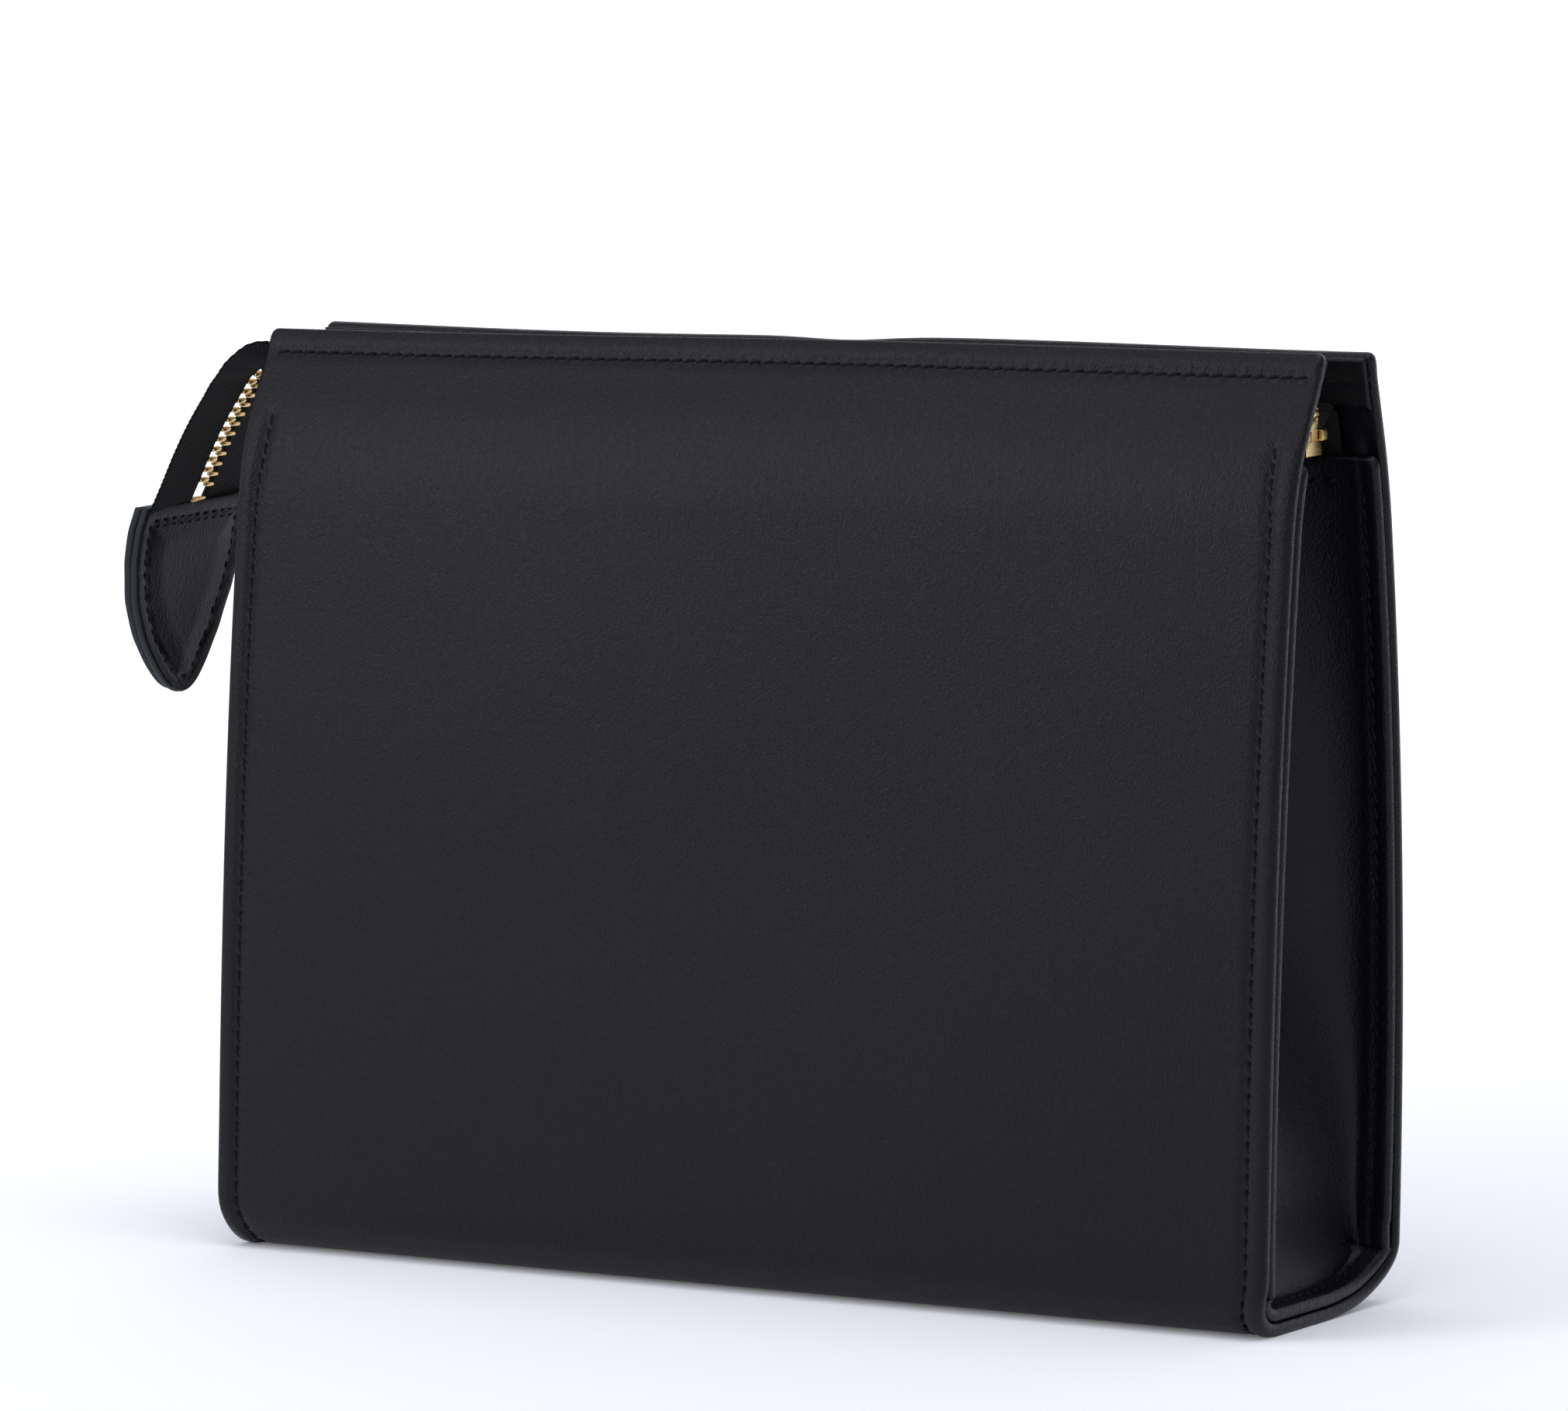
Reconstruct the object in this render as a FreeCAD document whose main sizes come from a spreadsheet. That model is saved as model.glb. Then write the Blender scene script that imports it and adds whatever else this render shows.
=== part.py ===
import FreeCAD, Part
import math
import os
import re
import Sketcher

# Flat-top zipped makeup bag: one U-shaped leather shell (front, base, back) over stiff board,
# closed at its ends by folded gussets, with a metal zip sunk between the two rims.
# Millimetres. +X right seen from the front, +Y to the back, +Z up.
# The origin is the centre of the base, on the plane that the bag stands on.

# ---------------------------------------------------------------- driving dimensions
DIMENSIONS = {
    # shell
    "panel_width": 260, "half_depth": 29.2, "corner_radius": 10,
    "leather": 1.2, "board": 0.8, "lining": 0.4, "clearance": 0.3,
    "base_edge_z": 11.85, "wall_foot_z": 12.15, "board_half_width": 121.5,
    # front wall, outer face: distance out from the centre plane, height and lean in degrees
    "front_bend_out": 16.3, "front_bend_z": 164, "front_bend_lean": 7.5,
    "front_rim_z": 186, "front_rim_lean": 28,
    "front_top_out": 1.9, "front_top_z": 200,
    "front_low_radius": 1390, "front_bend_radius": 63,
    # back wall, outer face
    "back_bend_out": 27.3, "back_bend_z": 164, "back_bend_lean": 5.5,
    "back_rim_z": 184, "back_rim_lean": 13.4,
    "back_top_out": 20.1, "back_top_z": 200,
    "back_low_radius": 1019, "back_bend_radius": 157,
    # rim
    "facing_drop": 12, "facing_thickness": 1, "board_drop": 13,
    "rim_stitch_drop": 5.2, "thread_width": 0.6, "thread_height": 0.3, "seam_inset": 6,
    "base_seam_inset": 5,
    # gusset
    "flange_width": 7, "gusset_leather": 1, "web_thickness": 1.5, "gusset_top_z": 177.5,
    "gusset_foot_z": 14, "gusset_half_width": 27.6,
    # zip
    "zip_y": 8.5, "chain_z": 182.6, "tape_thickness": 0.6, "tape_top_drop": 4, "tape_seam_drop": 7,
    "tape_knee_out": 3.4, "tape_half_length": 123.9,
    "tooth_reach": 2.7, "tooth_overlap": 0.6, "tooth_length": 1, "tooth_height": 2.2,
    "tooth_pitch": 2.6, "first_tooth_x": -125.5, "wall_teeth": 94,
    "stop_length": 1.6, "stop_width": 2.5, "stop_offset": 2.1,
    # slider, measured from the middle of the chain
    "slider_x": 111, "slider_length": 11, "slider_nose_half": 3.4, "slider_throat_half": 4.6,
    "slider_waist": 0.45, "slider_shoulder": 0.8, "slider_bulge": 0.3, "slider_chamfer": 0.4,
    "plate_thickness": 0.9, "lower_gap": 0.3, "upper_gap": 1.15,
    "post_start": 8.9, "post_length": 1.6, "post_width": 0.8,
    "bridge_width": 2, "bridge_foot": 1.5, "bridge_rise": 2.4, "bridge_bar": 1.1,
    "bridge_front_leg": 1.5, "bridge_front_knee": 2.4, "bridge_back_knee": 2.2, "bridge_back_leg": 1.6,
    "bridge_end_gap": 0.3, "bridge_crown_start": 1.2,
    # pull, measured from its pin
    "pin_x": 122.8, "pin_z": 187.2, "pin_radius": 0.35, "pin_hole_radius": 0.65,
    "pin_nose_radius": 1.1, "pull_thickness": 0.8, "fork_arm": 0.8, "fork_gap": 2.6,
    "fork_drop": 1.45, "neck_width": 3, "neck_drop": 6.2, "tab_width": 6.6, "tab_drop": 8.8,
    "fork_wall": 1, "fork_shoulder": 1.6, "neck_flare": 0.8,
    # tail: a quarter turn of zip, then the leather tab, measured from the centre of the turn
    "turn_x": -131, "turn_z": 160, "turn_radius": 30, "tail_half_width": 16.5,
    "tail_teeth": 16, "tooth_turn": 4.97, "first_tooth_turn": 4,
    "tape_tuck": 14, "tab_top": 1, "tab_half_width": 18, "tab_shoulder": 15, "tab_tip": 39.5,
    "tab_tip_half": 6, "tab_side_radius": 40, "tab_tip_radius": 7, "tab_leather": 1.3,
    "tab_stitch_inset": 3.5, "bottom_stop_height": 1.8, "bottom_stop_gap": 0.2,
    "tab_tip_share": 0.6,
}

doc = FreeCAD.newDocument("makeup_bag")
sheet = doc.addObject("Spreadsheet::Sheet", "Dims")
for row, (alias, number) in enumerate(DIMENSIONS.items(), start=1):
    sheet.set(f"A{row}", alias)
    sheet.set(f"B{row}", str(number))
    sheet.setAlias(f"B{row}", alias)
doc.recompute()


# ---------------------------------------------------------------- helpers
def bound(expression):
    """Point every name in an expression at its cell of the sheet."""
    return re.sub(r"[a-z_]{3,}", lambda word: f"Dims.{word[0]}" if word[0] in DIMENSIONS else word[0],
                  str(expression))


def number(expression):
    """The number that an expression has now."""
    return float(sheet.evalExpression(bound(expression)))


def new_body(node, place=("0", "0", "0")):
    """An empty body with its own label, moved to a place given as three expressions."""
    body = doc.addObject("PartDesign::Body", node)
    body.Label = node
    body.AllowCompound = True
    for axis, expression in zip("xyz", place):
        body.setExpression(f"Placement.Base.{axis}", bound(expression))
    return body


def arc_between(start, end, radius, turn):
    """Arc from start to end with its centre on the left (turn 1) or the right (turn -1)."""
    chord = end - start
    left = FreeCAD.Vector(-chord.y, chord.x, 0).normalize()
    reach = math.sqrt(radius ** 2 - (chord.Length / 2) ** 2)
    centre = (start + end) * 0.5 + left * (turn * reach)
    first, last = (start, end) if turn > 0 else (end, start)
    angles = [math.atan2(point.y - centre.y, point.x - centre.x) for point in (first, last)]
    if angles[1] < angles[0]:
        angles[1] += 2 * math.pi
    circle = Part.Circle(centre, FreeCAD.Vector(0, 0, 1), radius)
    return Part.ArcOfCircle(circle, *angles)


def add_outline(sketch, points, arcs=None):
    """Closed outline through points given as pairs of expressions.

    arcs maps an edge's number to (radius, turn); the other edges are straight.
    Each corner and each radius is held by a constraint bound to the sheet.
    """
    arcs = arcs or {}
    base = sketch.GeometryCount
    spots = [FreeCAD.Vector(number(x), number(y), 0) for x, y in points]
    ends = []
    for index, start in enumerate(spots):
        end = spots[(index + 1) % len(spots)]
        if index in arcs:
            radius, turn = arcs[index]
            sketch.addGeometry(arc_between(start, end, number(radius), turn))
            ends.append((1, 2) if turn > 0 else (2, 1))
        else:
            sketch.addGeometry(Part.LineSegment(start, end))
            ends.append((1, 2))
    for index in range(len(spots)):
        following = (index + 1) % len(spots)
        sketch.addConstraint(Sketcher.Constraint("Coincident", base + index, ends[index][1],
                                                 base + following, ends[following][0]))
    for index, spot in enumerate(spots):
        for kind, amount, expression in zip(("DistanceX", "DistanceY"), spot, points[index]):
            held = sketch.addConstraint(
                Sketcher.Constraint(kind, -1, 1, base + index, ends[index][0], amount))
            sketch.setExpression(f"Constraints[{held}]", bound(expression))
    for index, (radius, _) in arcs.items():
        held = sketch.addConstraint(Sketcher.Constraint("Radius", base + index, number(radius)))
        sketch.setExpression(f"Constraints[{held}]", bound(radius))


def add_sketch(body, plane, offset="0"):
    """A sketch on one of the body's origin planes, moved along its normal."""
    sketch = body.newObject("Sketcher::SketchObject", f"{body.Name}_sketch")
    origin_plane = next(item for item in body.Origin.OriginFeatures if item.Role == plane)
    sketch.AttachmentSupport = [(origin_plane, "")]
    sketch.MapMode = "FlatFace"
    sketch.setExpression("AttachmentOffset.Base.z", bound(offset))
    return sketch


def add_pad(body, sketch, length, midplane=False):
    pad = body.newObject("PartDesign::Pad", f"{body.Name}_pad")
    pad.Profile = sketch
    pad.Midplane = midplane
    pad.setExpression("Length", bound(length))
    sketch.Visibility = False
    return pad


def prism(body, plane, points, length, offset="0", arcs=None, midplane=False):
    """Pad one closed outline: the most common shape here."""
    sketch = add_sketch(body, plane, offset)
    add_outline(sketch, points, arcs)
    return add_pad(body, sketch, length, midplane)


def rectangle(left, right, low, high):
    return [(left, low), (right, low), (right, high), (left, high)]


# ---------------------------------------------------------------- shell: walls and base
SIDES = {"front": -1, "back": 1}


def wall_point(side, station, inward, drop="0"):
    """A point of a wall's outer face (foot, bend, rim or top), moved inward and down the face."""
    rim_rise = f"({side}_top_z - {side}_rim_z)"
    out, height, lean = {
        "foot": ("half_depth", "wall_foot_z", "0"),
        "bend": (f"{side}_bend_out", f"{side}_bend_z", f"{side}_bend_lean"),
        "rim": (f"{side}_top_out + {rim_rise} * tan({side}_rim_lean)", f"{side}_rim_z", f"{side}_rim_lean"),
        "top": (f"{side}_top_out", f"{side}_top_z", f"{side}_rim_lean"),
    }[station]
    depth = f"({out} + ({drop}) * sin({lean}) - ({inward}) * cos({lean}))"
    return (f"{SIDES[side]} * {depth}", f"{height} - ({drop}) * cos({lean}) - ({inward}) * sin({lean})")


def wall_layer(node, side, near, far, width, drop="0"):
    """One layer of a wall, between two distances inward of its outer face."""
    outer = [wall_point(side, "foot", near), wall_point(side, "bend", near),
             wall_point(side, "rim", near), wall_point(side, "top", near, drop)]
    inner = [wall_point(side, "top", far, drop), wall_point(side, "rim", far),
             wall_point(side, "bend", far), wall_point(side, "foot", far)]
    turn = SIDES[side]
    arcs = {0: (f"{side}_low_radius - ({near})", turn), 1: (f"{side}_bend_radius - ({near})", turn),
            5: (f"{side}_bend_radius - ({far})", -turn), 6: (f"{side}_low_radius - ({far})", -turn)}
    prism(new_body(node), "YZ_Plane", outer + inner, width, arcs=arcs, midplane=True)


def seam_thread(node, side, start):
    """A line of thread up a wall's outer face, from its foot to where the rim straightens."""
    stations = ("foot", "bend", "rim")
    points = [wall_point(side, station, "-thread_height") for station in stations]
    points += [wall_point(side, station, "0") for station in reversed(stations)]
    turn = SIDES[side]
    arcs = {0: (f"{side}_low_radius + thread_height", turn),
            1: (f"{side}_bend_radius + thread_height", turn),
            3: (f"{side}_bend_radius", -turn), 4: (f"{side}_low_radius", -turn)}
    prism(new_body(node), "YZ_Plane", points, "thread_width", start, arcs)


def rim_strip(node, side, near, far, high, low, width):
    """A flat strip along a rim, between two drops down from its top edge."""
    corners = [wall_point(side, "top", near, high), wall_point(side, "top", near, low),
               wall_point(side, "top", far, low), wall_point(side, "top", far, high)]
    prism(new_body(node), "YZ_Plane", corners, width, midplane=True)


def cradle(body, near, far, top, width, offset="0", midplane=False):
    """The U of the base: a flat with two quarter-round corners, between two distances inward."""
    reach, flat = "half_depth", "(half_depth - corner_radius)"
    points = [(f"-({reach} - ({near}))", top), (f"-({reach} - ({near}))", "corner_radius"),
              (f"-{flat}", near), (flat, near),
              (f"{reach} - ({near})", "corner_radius"), (f"{reach} - ({near})", top),
              (f"{reach} - ({far})", top), (f"{reach} - ({far})", "corner_radius"),
              (flat, far), (f"-{flat}", far),
              (f"-({reach} - ({far}))", "corner_radius"), (f"-({reach} - ({far}))", top)]
    outer, inner = f"corner_radius - ({near})", f"corner_radius - ({far})"
    arcs = {1: (outer, 1), 3: (outer, 1), 7: (inner, -1), 9: (inner, -1)}
    prism(body, "YZ_Plane", points, width, offset, arcs, midplane)


INNER_FACE = "leather + board + lining"

for side in SIDES:
    wall_layer(f"{side}_panel", side, "0", "leather", "panel_width")
    wall_layer(f"{side}_stiffener", side, "leather", "leather + board",
               "2 * board_half_width", "board_drop")
    wall_layer(f"{side}_lining", side, "leather + board", INNER_FACE,
               "2 * board_half_width", "board_drop")
    rim_strip(f"{side}_rim_facing", side, "leather", "leather + facing_thickness", "0", "facing_drop",
              "panel_width - 2 * flange_width")
    rim_strip(f"{side}_rim_stitching", side, "-thread_height", "0",
              "rim_stitch_drop", "rim_stitch_drop + thread_width", "panel_width - 2 * seam_inset")
    for end, start in (("left", "-panel_width / 2 + seam_inset"),
                       ("right", "panel_width / 2 - seam_inset - thread_width")):
        seam_thread(f"{side}_{end}_seam_stitching", side, start)

base_panel = new_body("base_panel")
cradle(base_panel, "0", "leather", "base_edge_z", "panel_width", midplane=True)
base_lining = new_body("base_lining")
cradle(base_lining, "leather + board", INNER_FACE, "base_edge_z", "2 * board_half_width", midplane=True)
base_stiffener = new_body("base_stiffener")
prism(base_stiffener, "YZ_Plane",
      rectangle("-(half_depth - corner_radius)", "half_depth - corner_radius", "leather",
                "leather + board"), "2 * board_half_width", midplane=True)


# ---------------------------------------------------------------- gussets
def outer_face(side, height):
    """How far out a wall's outer face is at a height, by walking its arcs and its straight rim."""
    spots = {name: [number(part) for part in wall_point(side, name, "0")]
             for name in ("foot", "bend", "rim", "top")}
    for low, high, radius in (("foot", "bend", f"{side}_low_radius"),
                              ("bend", "rim", f"{side}_bend_radius")):
        if height <= spots[high][1]:
            start, end = (FreeCAD.Vector(*spots[name], 0) for name in (low, high))
            edge = arc_between(start, end, number(radius), SIDES[side])
            reach = math.sqrt(number(radius) ** 2 - (height - edge.Center.y) ** 2)
            return abs(edge.Center.x + SIDES[side] * reach)
    raise ValueError("the gusset ends below the rim")


# Heights at which the gusset's plan is drawn, from its foot to its hem, and its plan there:
# the two flanges lie inside the walls and the web between them keeps its cut width as it folds.
GUSSET_STATIONS = 5
for station in range(GUSSET_STATIONS):
    row += 4
    share = station / (GUSSET_STATIONS - 1)
    height = number("gusset_foot_z") + share * number("gusset_top_z - gusset_foot_z")
    front = outer_face("front", height) - number("leather + clearance")
    back = outer_face("back", height) - number("leather + clearance")
    half_gap = (front + back) / 2
    fold = math.sqrt(max(number("gusset_half_width") ** 2 - half_gap ** 2, 0))
    plan = {"level": height, "front": front, "back": back, "fold": fold}
    for step, (name, amount) in enumerate(plan.items()):
        alias = f"plan_{name}_{'abcde'[station]}"
        DIMENSIONS[alias] = amount
        sheet.set(f"A{row + step}", alias)
        sheet.set(f"B{row + step}", f"{amount:.4f}")
        sheet.setAlias(f"B{row + step}", alias)
doc.recompute()


def loft_web(body, plans):
    """Straight-sided loft through plans drawn at the gusset's stations."""
    sketches = []
    for letter, points in zip("abcde", plans):
        sketch = add_sketch(body, "XY_Plane", f"plan_level_{letter}")
        add_outline(sketch, points)
        sketch.Visibility = False
        sketches.append(sketch)
    loft = body.newObject("PartDesign::AdditiveLoft", f"{body.Name}_loft")
    loft.Profile = sketches[0]
    loft.Sections = sketches[1:]
    loft.Ruled = True


def gusset_plan(letter, hand):
    """Outline in plan: a flange on each wall and the V of the web between them."""
    front, back, fold = (f"plan_{name}_{letter}" for name in ("front", "back", "fold"))
    edge, root = "(panel_width / 2)", "(panel_width / 2 - flange_width)"
    middle = f"(({back} - {front}) / 2)"
    sheet_end = "(gusset_leather + web_thickness / 2)"
    points = [(edge, f"-{front}"), (edge, f"-{front} + gusset_leather"),
              (f"{root} + web_thickness", f"-{front} + gusset_leather"),
              (f"{root} + web_thickness - {fold}", middle),
              (f"{root} + web_thickness", f"{back} - gusset_leather"),
              (edge, f"{back} - gusset_leather"), (edge, back), (root, back),
              (root, f"{back} - {sheet_end}"), (f"{root} - {fold}", middle),
              (root, f"-{front} + {sheet_end}"), (root, f"-{front}")]
    return [(f"{hand} * ({x})", y) for x, y in points]


def gusset_lining_plan(letter, hand):
    """The lining's V, just inside the web."""
    front, back, fold = (f"plan_{name}_{letter}" for name in ("front", "back", "fold"))
    face = "(panel_width / 2 - flange_width - clearance)"
    middle = f"(({back} - {front}) / 2)"
    ends = "(gusset_leather + web_thickness / 2)"
    points = [(face, f"-{front} + {ends}"), (f"{face} - {fold}", middle), (face, f"{back} - {ends}"),
              (f"{face} - lining", f"{back} - {ends}"), (f"{face} - lining - {fold}", middle),
              (f"{face} - lining", f"-{front} + {ends}")]
    return [(f"{hand} * ({x})", y) for x, y in points]


def gusset_end_plate(body, inset, start, thickness):
    """The flat foot of the web: a plate filling the U of the base up to the first plan."""
    reach, flat = f"(half_depth - ({inset}))", "(half_depth - corner_radius)"
    top = "gusset_foot_z + gusset_leather"
    points = [(f"-{reach}", top), (f"-{reach}", "corner_radius"), (f"-{flat}", inset), (flat, inset),
              (reach, "corner_radius"), (reach, top)]
    corner = f"corner_radius - ({inset})"
    prism(body, "YZ_Plane", points, thickness, start, {1: (corner, 1), 3: (corner, 1)})


HANDS = {"left": -1, "right": 1}
for end, hand in HANDS.items():
    skin = "leather + clearance"
    gusset = new_body(f"{end}_gusset")
    loft_web(gusset, [gusset_plan(letter, hand) for letter in "abcde"])
    root = "(panel_width / 2 - flange_width)"
    cradle(gusset, skin, f"{skin} + gusset_leather", "gusset_foot_z + gusset_leather", "flange_width",
           root if hand > 0 else "-panel_width / 2")
    gusset_end_plate(gusset, skin, root if hand > 0 else f"-{root} - web_thickness", "web_thickness")

    lining = new_body(f"{end}_gusset_lining")
    loft_web(lining, [gusset_lining_plan(letter, hand) for letter in "abcde"])
    face = "(panel_width / 2 - flange_width - clearance)"
    gusset_end_plate(lining, f"{skin} + gusset_leather", f"{face} - lining" if hand > 0 else f"-{face}",
                     "lining")

    stitching = new_body(f"{end}_base_stitching")
    seam = "(panel_width / 2 - base_seam_inset)"
    start = seam if hand > 0 else f"-{seam} - thread_width"
    cradle(stitching, f"{skin} + gusset_leather", f"{skin} + gusset_leather + thread_height",
           "gusset_foot_z", "thread_width", start)

# ---------------------------------------------------------------- zip: tapes, teeth and stops
for side, sign in SIDES.items():
    under = "leather + facing_thickness"
    tape = new_body(f"{side}_zip_tape")
    seam_high = wall_point(side, "top", under, "tape_top_drop")
    seam_low = wall_point(side, "top", under, "tape_seam_drop")
    back_high = wall_point(side, "top", f"{under} + tape_thickness", "tape_top_drop")
    back_low = wall_point(side, "top", f"{under} + tape_thickness", "tape_seam_drop")
    knee = f"(zip_y + {sign} * (tooth_reach + tape_knee_out))"
    edge = f"(zip_y + {sign} * tooth_reach)"
    top, low = "(chain_z + tape_thickness / 2)", "(chain_z - tape_thickness / 2)"
    prism(tape, "YZ_Plane",
          [seam_high, seam_low, (knee, low), (edge, low), (edge, top),
           (f"{knee} - {sign} * tape_thickness / 2", top), back_low, back_high],
          "2 * tape_half_length", midplane=True)

    teeth = new_body(f"{side}_teeth", ("0", "zip_y", "chain_z"))
    lead = "first_tooth_x" if side == "front" else "first_tooth_x + tooth_pitch / 2"
    reach = rectangle(lead, f"{lead} + tooth_length",
                      *sorted((f"{sign} * tooth_reach", f"-({sign}) * tooth_overlap"), key=number))
    pad = prism(teeth, "XY_Plane", reach, "tooth_height", "-tooth_height / 2")
    doc.recompute()
    row_of_teeth = teeth.newObject("PartDesign::LinearPattern", f"{side}_teeth_row")
    row_of_teeth.Originals = [pad]
    row_of_teeth.Direction = (next(item for item in teeth.Origin.OriginFeatures
                                   if item.Role == "X_Axis"), [""])
    row_of_teeth.Occurrences = int(number("wall_teeth"))
    row_of_teeth.setExpression("Length", bound("tooth_pitch * (wall_teeth - 1)"))
    teeth.Tip = row_of_teeth

    stop = new_body(f"{side}_top_stop", ("tape_half_length", "zip_y", "chain_z"))
    prism(stop, "XY_Plane",
          rectangle("-stop_length", "0", *sorted((f"{sign} * (stop_offset + stop_width)",
                                                  f"{sign} * stop_offset"), key=number)),
          "tooth_height", "-tooth_height / 2")

# ---------------------------------------------------------------- slider
slider_place = ("slider_x", "zip_y", "chain_z")
nose, throat, length = "slider_nose_half", "slider_throat_half", "slider_length"
waist, shoulder = f"{length} * slider_waist", f"{length} * slider_shoulder"
plan = [("0", f"-{nose}"), (waist, f"-{nose} - slider_bulge"), (shoulder, f"-{throat}"),
        (length, f"-{throat} + slider_chamfer"), (length, f"{throat} - slider_chamfer"),
        (shoulder, throat), (waist, f"{nose} + slider_bulge"), ("0", nose)]
under_plate = "-(tooth_height / 2 + lower_gap + plate_thickness)"
over_plate = "tooth_height / 2 + upper_gap"
slider_body = new_body("slider_body", slider_place)
prism(slider_body, "XY_Plane", plan, "plate_thickness", under_plate)
prism(slider_body, "XY_Plane", plan, "plate_thickness", over_plate)
prism(slider_body, "XY_Plane",
      rectangle("post_start", "post_start + post_length", "-post_width / 2", "post_width / 2"),
      f"{over_plate} - ({under_plate}) + plate_thickness", under_plate)

slider_bridge = new_body("slider_bridge", slider_place)
deck = f"({over_plate} + plate_thickness)"
pin_along, pin_up = "(pin_x - slider_x)", "(pin_z - chain_z)"
crown = f"({deck} + bridge_rise)"
bridge_outline = [("bridge_foot", deck), ("bridge_foot + bridge_front_leg", deck),
                  ("bridge_foot + bridge_front_knee", f"{crown} - bridge_bar"),
                  (f"{length} - bridge_foot - bridge_back_knee", f"{crown} - bridge_bar"),
                  (f"{length} - bridge_foot - bridge_back_leg", deck),
                  (f"{length} - bridge_end_gap", deck),
                  (pin_along, f"{pin_up} - pin_nose_radius"), (pin_along, f"{pin_up} + pin_nose_radius"),
                  ("bridge_foot + bridge_crown_start", crown)]
bridge_sketch = add_sketch(slider_bridge, "XZ_Plane")
add_outline(bridge_sketch, bridge_outline, {6: ("pin_nose_radius", 1)})
bridge_sketch.addGeometry(Part.Circle(FreeCAD.Vector(number(pin_along), number(pin_up), 0),
                                      FreeCAD.Vector(0, 0, 1), number("pin_hole_radius")))
hole = bridge_sketch.GeometryCount - 1
for kind, expression in (("DistanceX", pin_along), ("DistanceY", pin_up)):
    held = bridge_sketch.addConstraint(Sketcher.Constraint(kind, -1, 1, hole, 3, number(expression)))
    bridge_sketch.setExpression(f"Constraints[{held}]", bound(expression))
held = bridge_sketch.addConstraint(Sketcher.Constraint("Radius", hole, number("pin_hole_radius")))
bridge_sketch.setExpression(f"Constraints[{held}]", bound("pin_hole_radius"))
add_pad(slider_bridge, bridge_sketch, "bridge_width", midplane=True)

# ---------------------------------------------------------------- pull, hung from its pin
pull_place = ("pin_x", "zip_y", "pin_z")
half_thick = "(pull_thickness / 2)"
pull_tab = new_body("pull_tab", pull_place)
half_neck, half_tab, outer_fork = "(neck_width / 2)", "(tab_width / 2)", "(fork_gap / 2 + fork_arm)"
fork_top = "pin_nose_radius"
pull_outline = [(f"-{outer_fork}", fork_top), (f"-{outer_fork}", "-fork_drop - fork_wall"),
                (f"-{half_neck}", "-fork_drop - fork_shoulder"),
                (f"-{half_neck}", "-neck_drop + neck_flare"),
                (f"-{half_tab}", "-neck_drop"), (f"-{half_tab}", "-tab_drop"),
                (half_tab, "-tab_drop"), (half_tab, "-neck_drop"),
                (half_neck, "-neck_drop + neck_flare"), (half_neck, "-fork_drop - fork_shoulder"),
                (outer_fork, "-fork_drop - fork_wall"), (outer_fork, fork_top),
                ("fork_gap / 2", fork_top), ("fork_gap / 2", "-fork_drop"),
                ("-fork_gap / 2", "-fork_drop"), ("-fork_gap / 2", fork_top)]
prism(pull_tab, "YZ_Plane", pull_outline, "pull_thickness", midplane=True)

pull_pin = doc.addObject("Part::Cylinder", "pull_pin")
pull_pin.Label = "pull_pin"
pull_pin.setExpression("Radius", bound("pin_radius"))
pull_pin.setExpression("Height", bound("fork_gap"))
pull_pin.Placement = FreeCAD.Placement(FreeCAD.Vector(number("pin_x"), number("zip_y + fork_gap / 2"),
                                                      number("pin_z")),
                                       FreeCAD.Rotation(FreeCAD.Vector(1, 0, 0), 90))

# ---------------------------------------------------------------- tail of the zip and its leather tab
tail_place = ("turn_x", "zip_y", "turn_z")


def turn_strip(node, near, far, left, right, tuck):
    """Strip of tape that turns from level to hanging and runs on down into the tab."""
    body = new_body(node, tail_place)
    outline = [("0", f"turn_radius + ({near})"), (f"-turn_radius - ({near})", "0"),
               (f"-turn_radius - ({near})", f"-({tuck})"), (f"-turn_radius - ({far})", f"-({tuck})"),
               (f"-turn_radius - ({far})", "0"), ("0", f"turn_radius + ({far})")]
    arcs = {0: (f"turn_radius + ({near})", 1), 4: (f"turn_radius + ({far})", -1)}
    prism(body, "XZ_Plane", outline, f"{right} - ({left})", f"-({right})", arcs)
    return body


for side, sign in SIDES.items():
    spread = sorted((f"{sign} * tooth_reach", f"{sign} * tail_half_width"), key=number)
    turn_strip(f"{side}_tail_tape", "-tape_thickness / 2", "tape_thickness / 2", *spread, "tape_tuck")

    tail_teeth = new_body(f"{side}_tail_teeth", tail_place)
    reach = rectangle("-tooth_length / 2", "tooth_length / 2",
                      *sorted((f"{sign} * tooth_reach", f"-({sign}) * tooth_overlap"), key=number))
    pad = prism(tail_teeth, "XY_Plane", reach, "tooth_height", "turn_radius - tooth_height / 2")
    doc.recompute()
    fan = tail_teeth.newObject("PartDesign::PolarPattern", f"{side}_tail_teeth_fan")
    fan.Originals = [pad]
    fan.Axis = (next(item for item in tail_teeth.Origin.OriginFeatures if item.Role == "Y_Axis"), [""])
    fan.Reversed = True
    fan.Occurrences = int(number("tail_teeth"))
    fan.setExpression("Angle", bound("tooth_turn * (tail_teeth - 1)"))
    tail_teeth.Tip = fan
    lead = "first_tooth_turn" if side == "front" else "first_tooth_turn + tooth_turn / 2"
    turned = FreeCAD.Rotation(FreeCAD.Vector(0, 1, 0), -number(lead))
    place = FreeCAD.Vector(*(number(expression) for expression in tail_place))
    tail_teeth.Placement = FreeCAD.Placement(place, turned)

bottom_stop = new_body("bottom_stop", tail_place)
prism(bottom_stop, "XY_Plane",
      rectangle("-turn_radius - tooth_height / 2", "-turn_radius + tooth_height / 2",
                "-tooth_reach", "tooth_reach"), "bottom_stop_height",
      "-tab_top + bottom_stop_gap")


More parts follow.
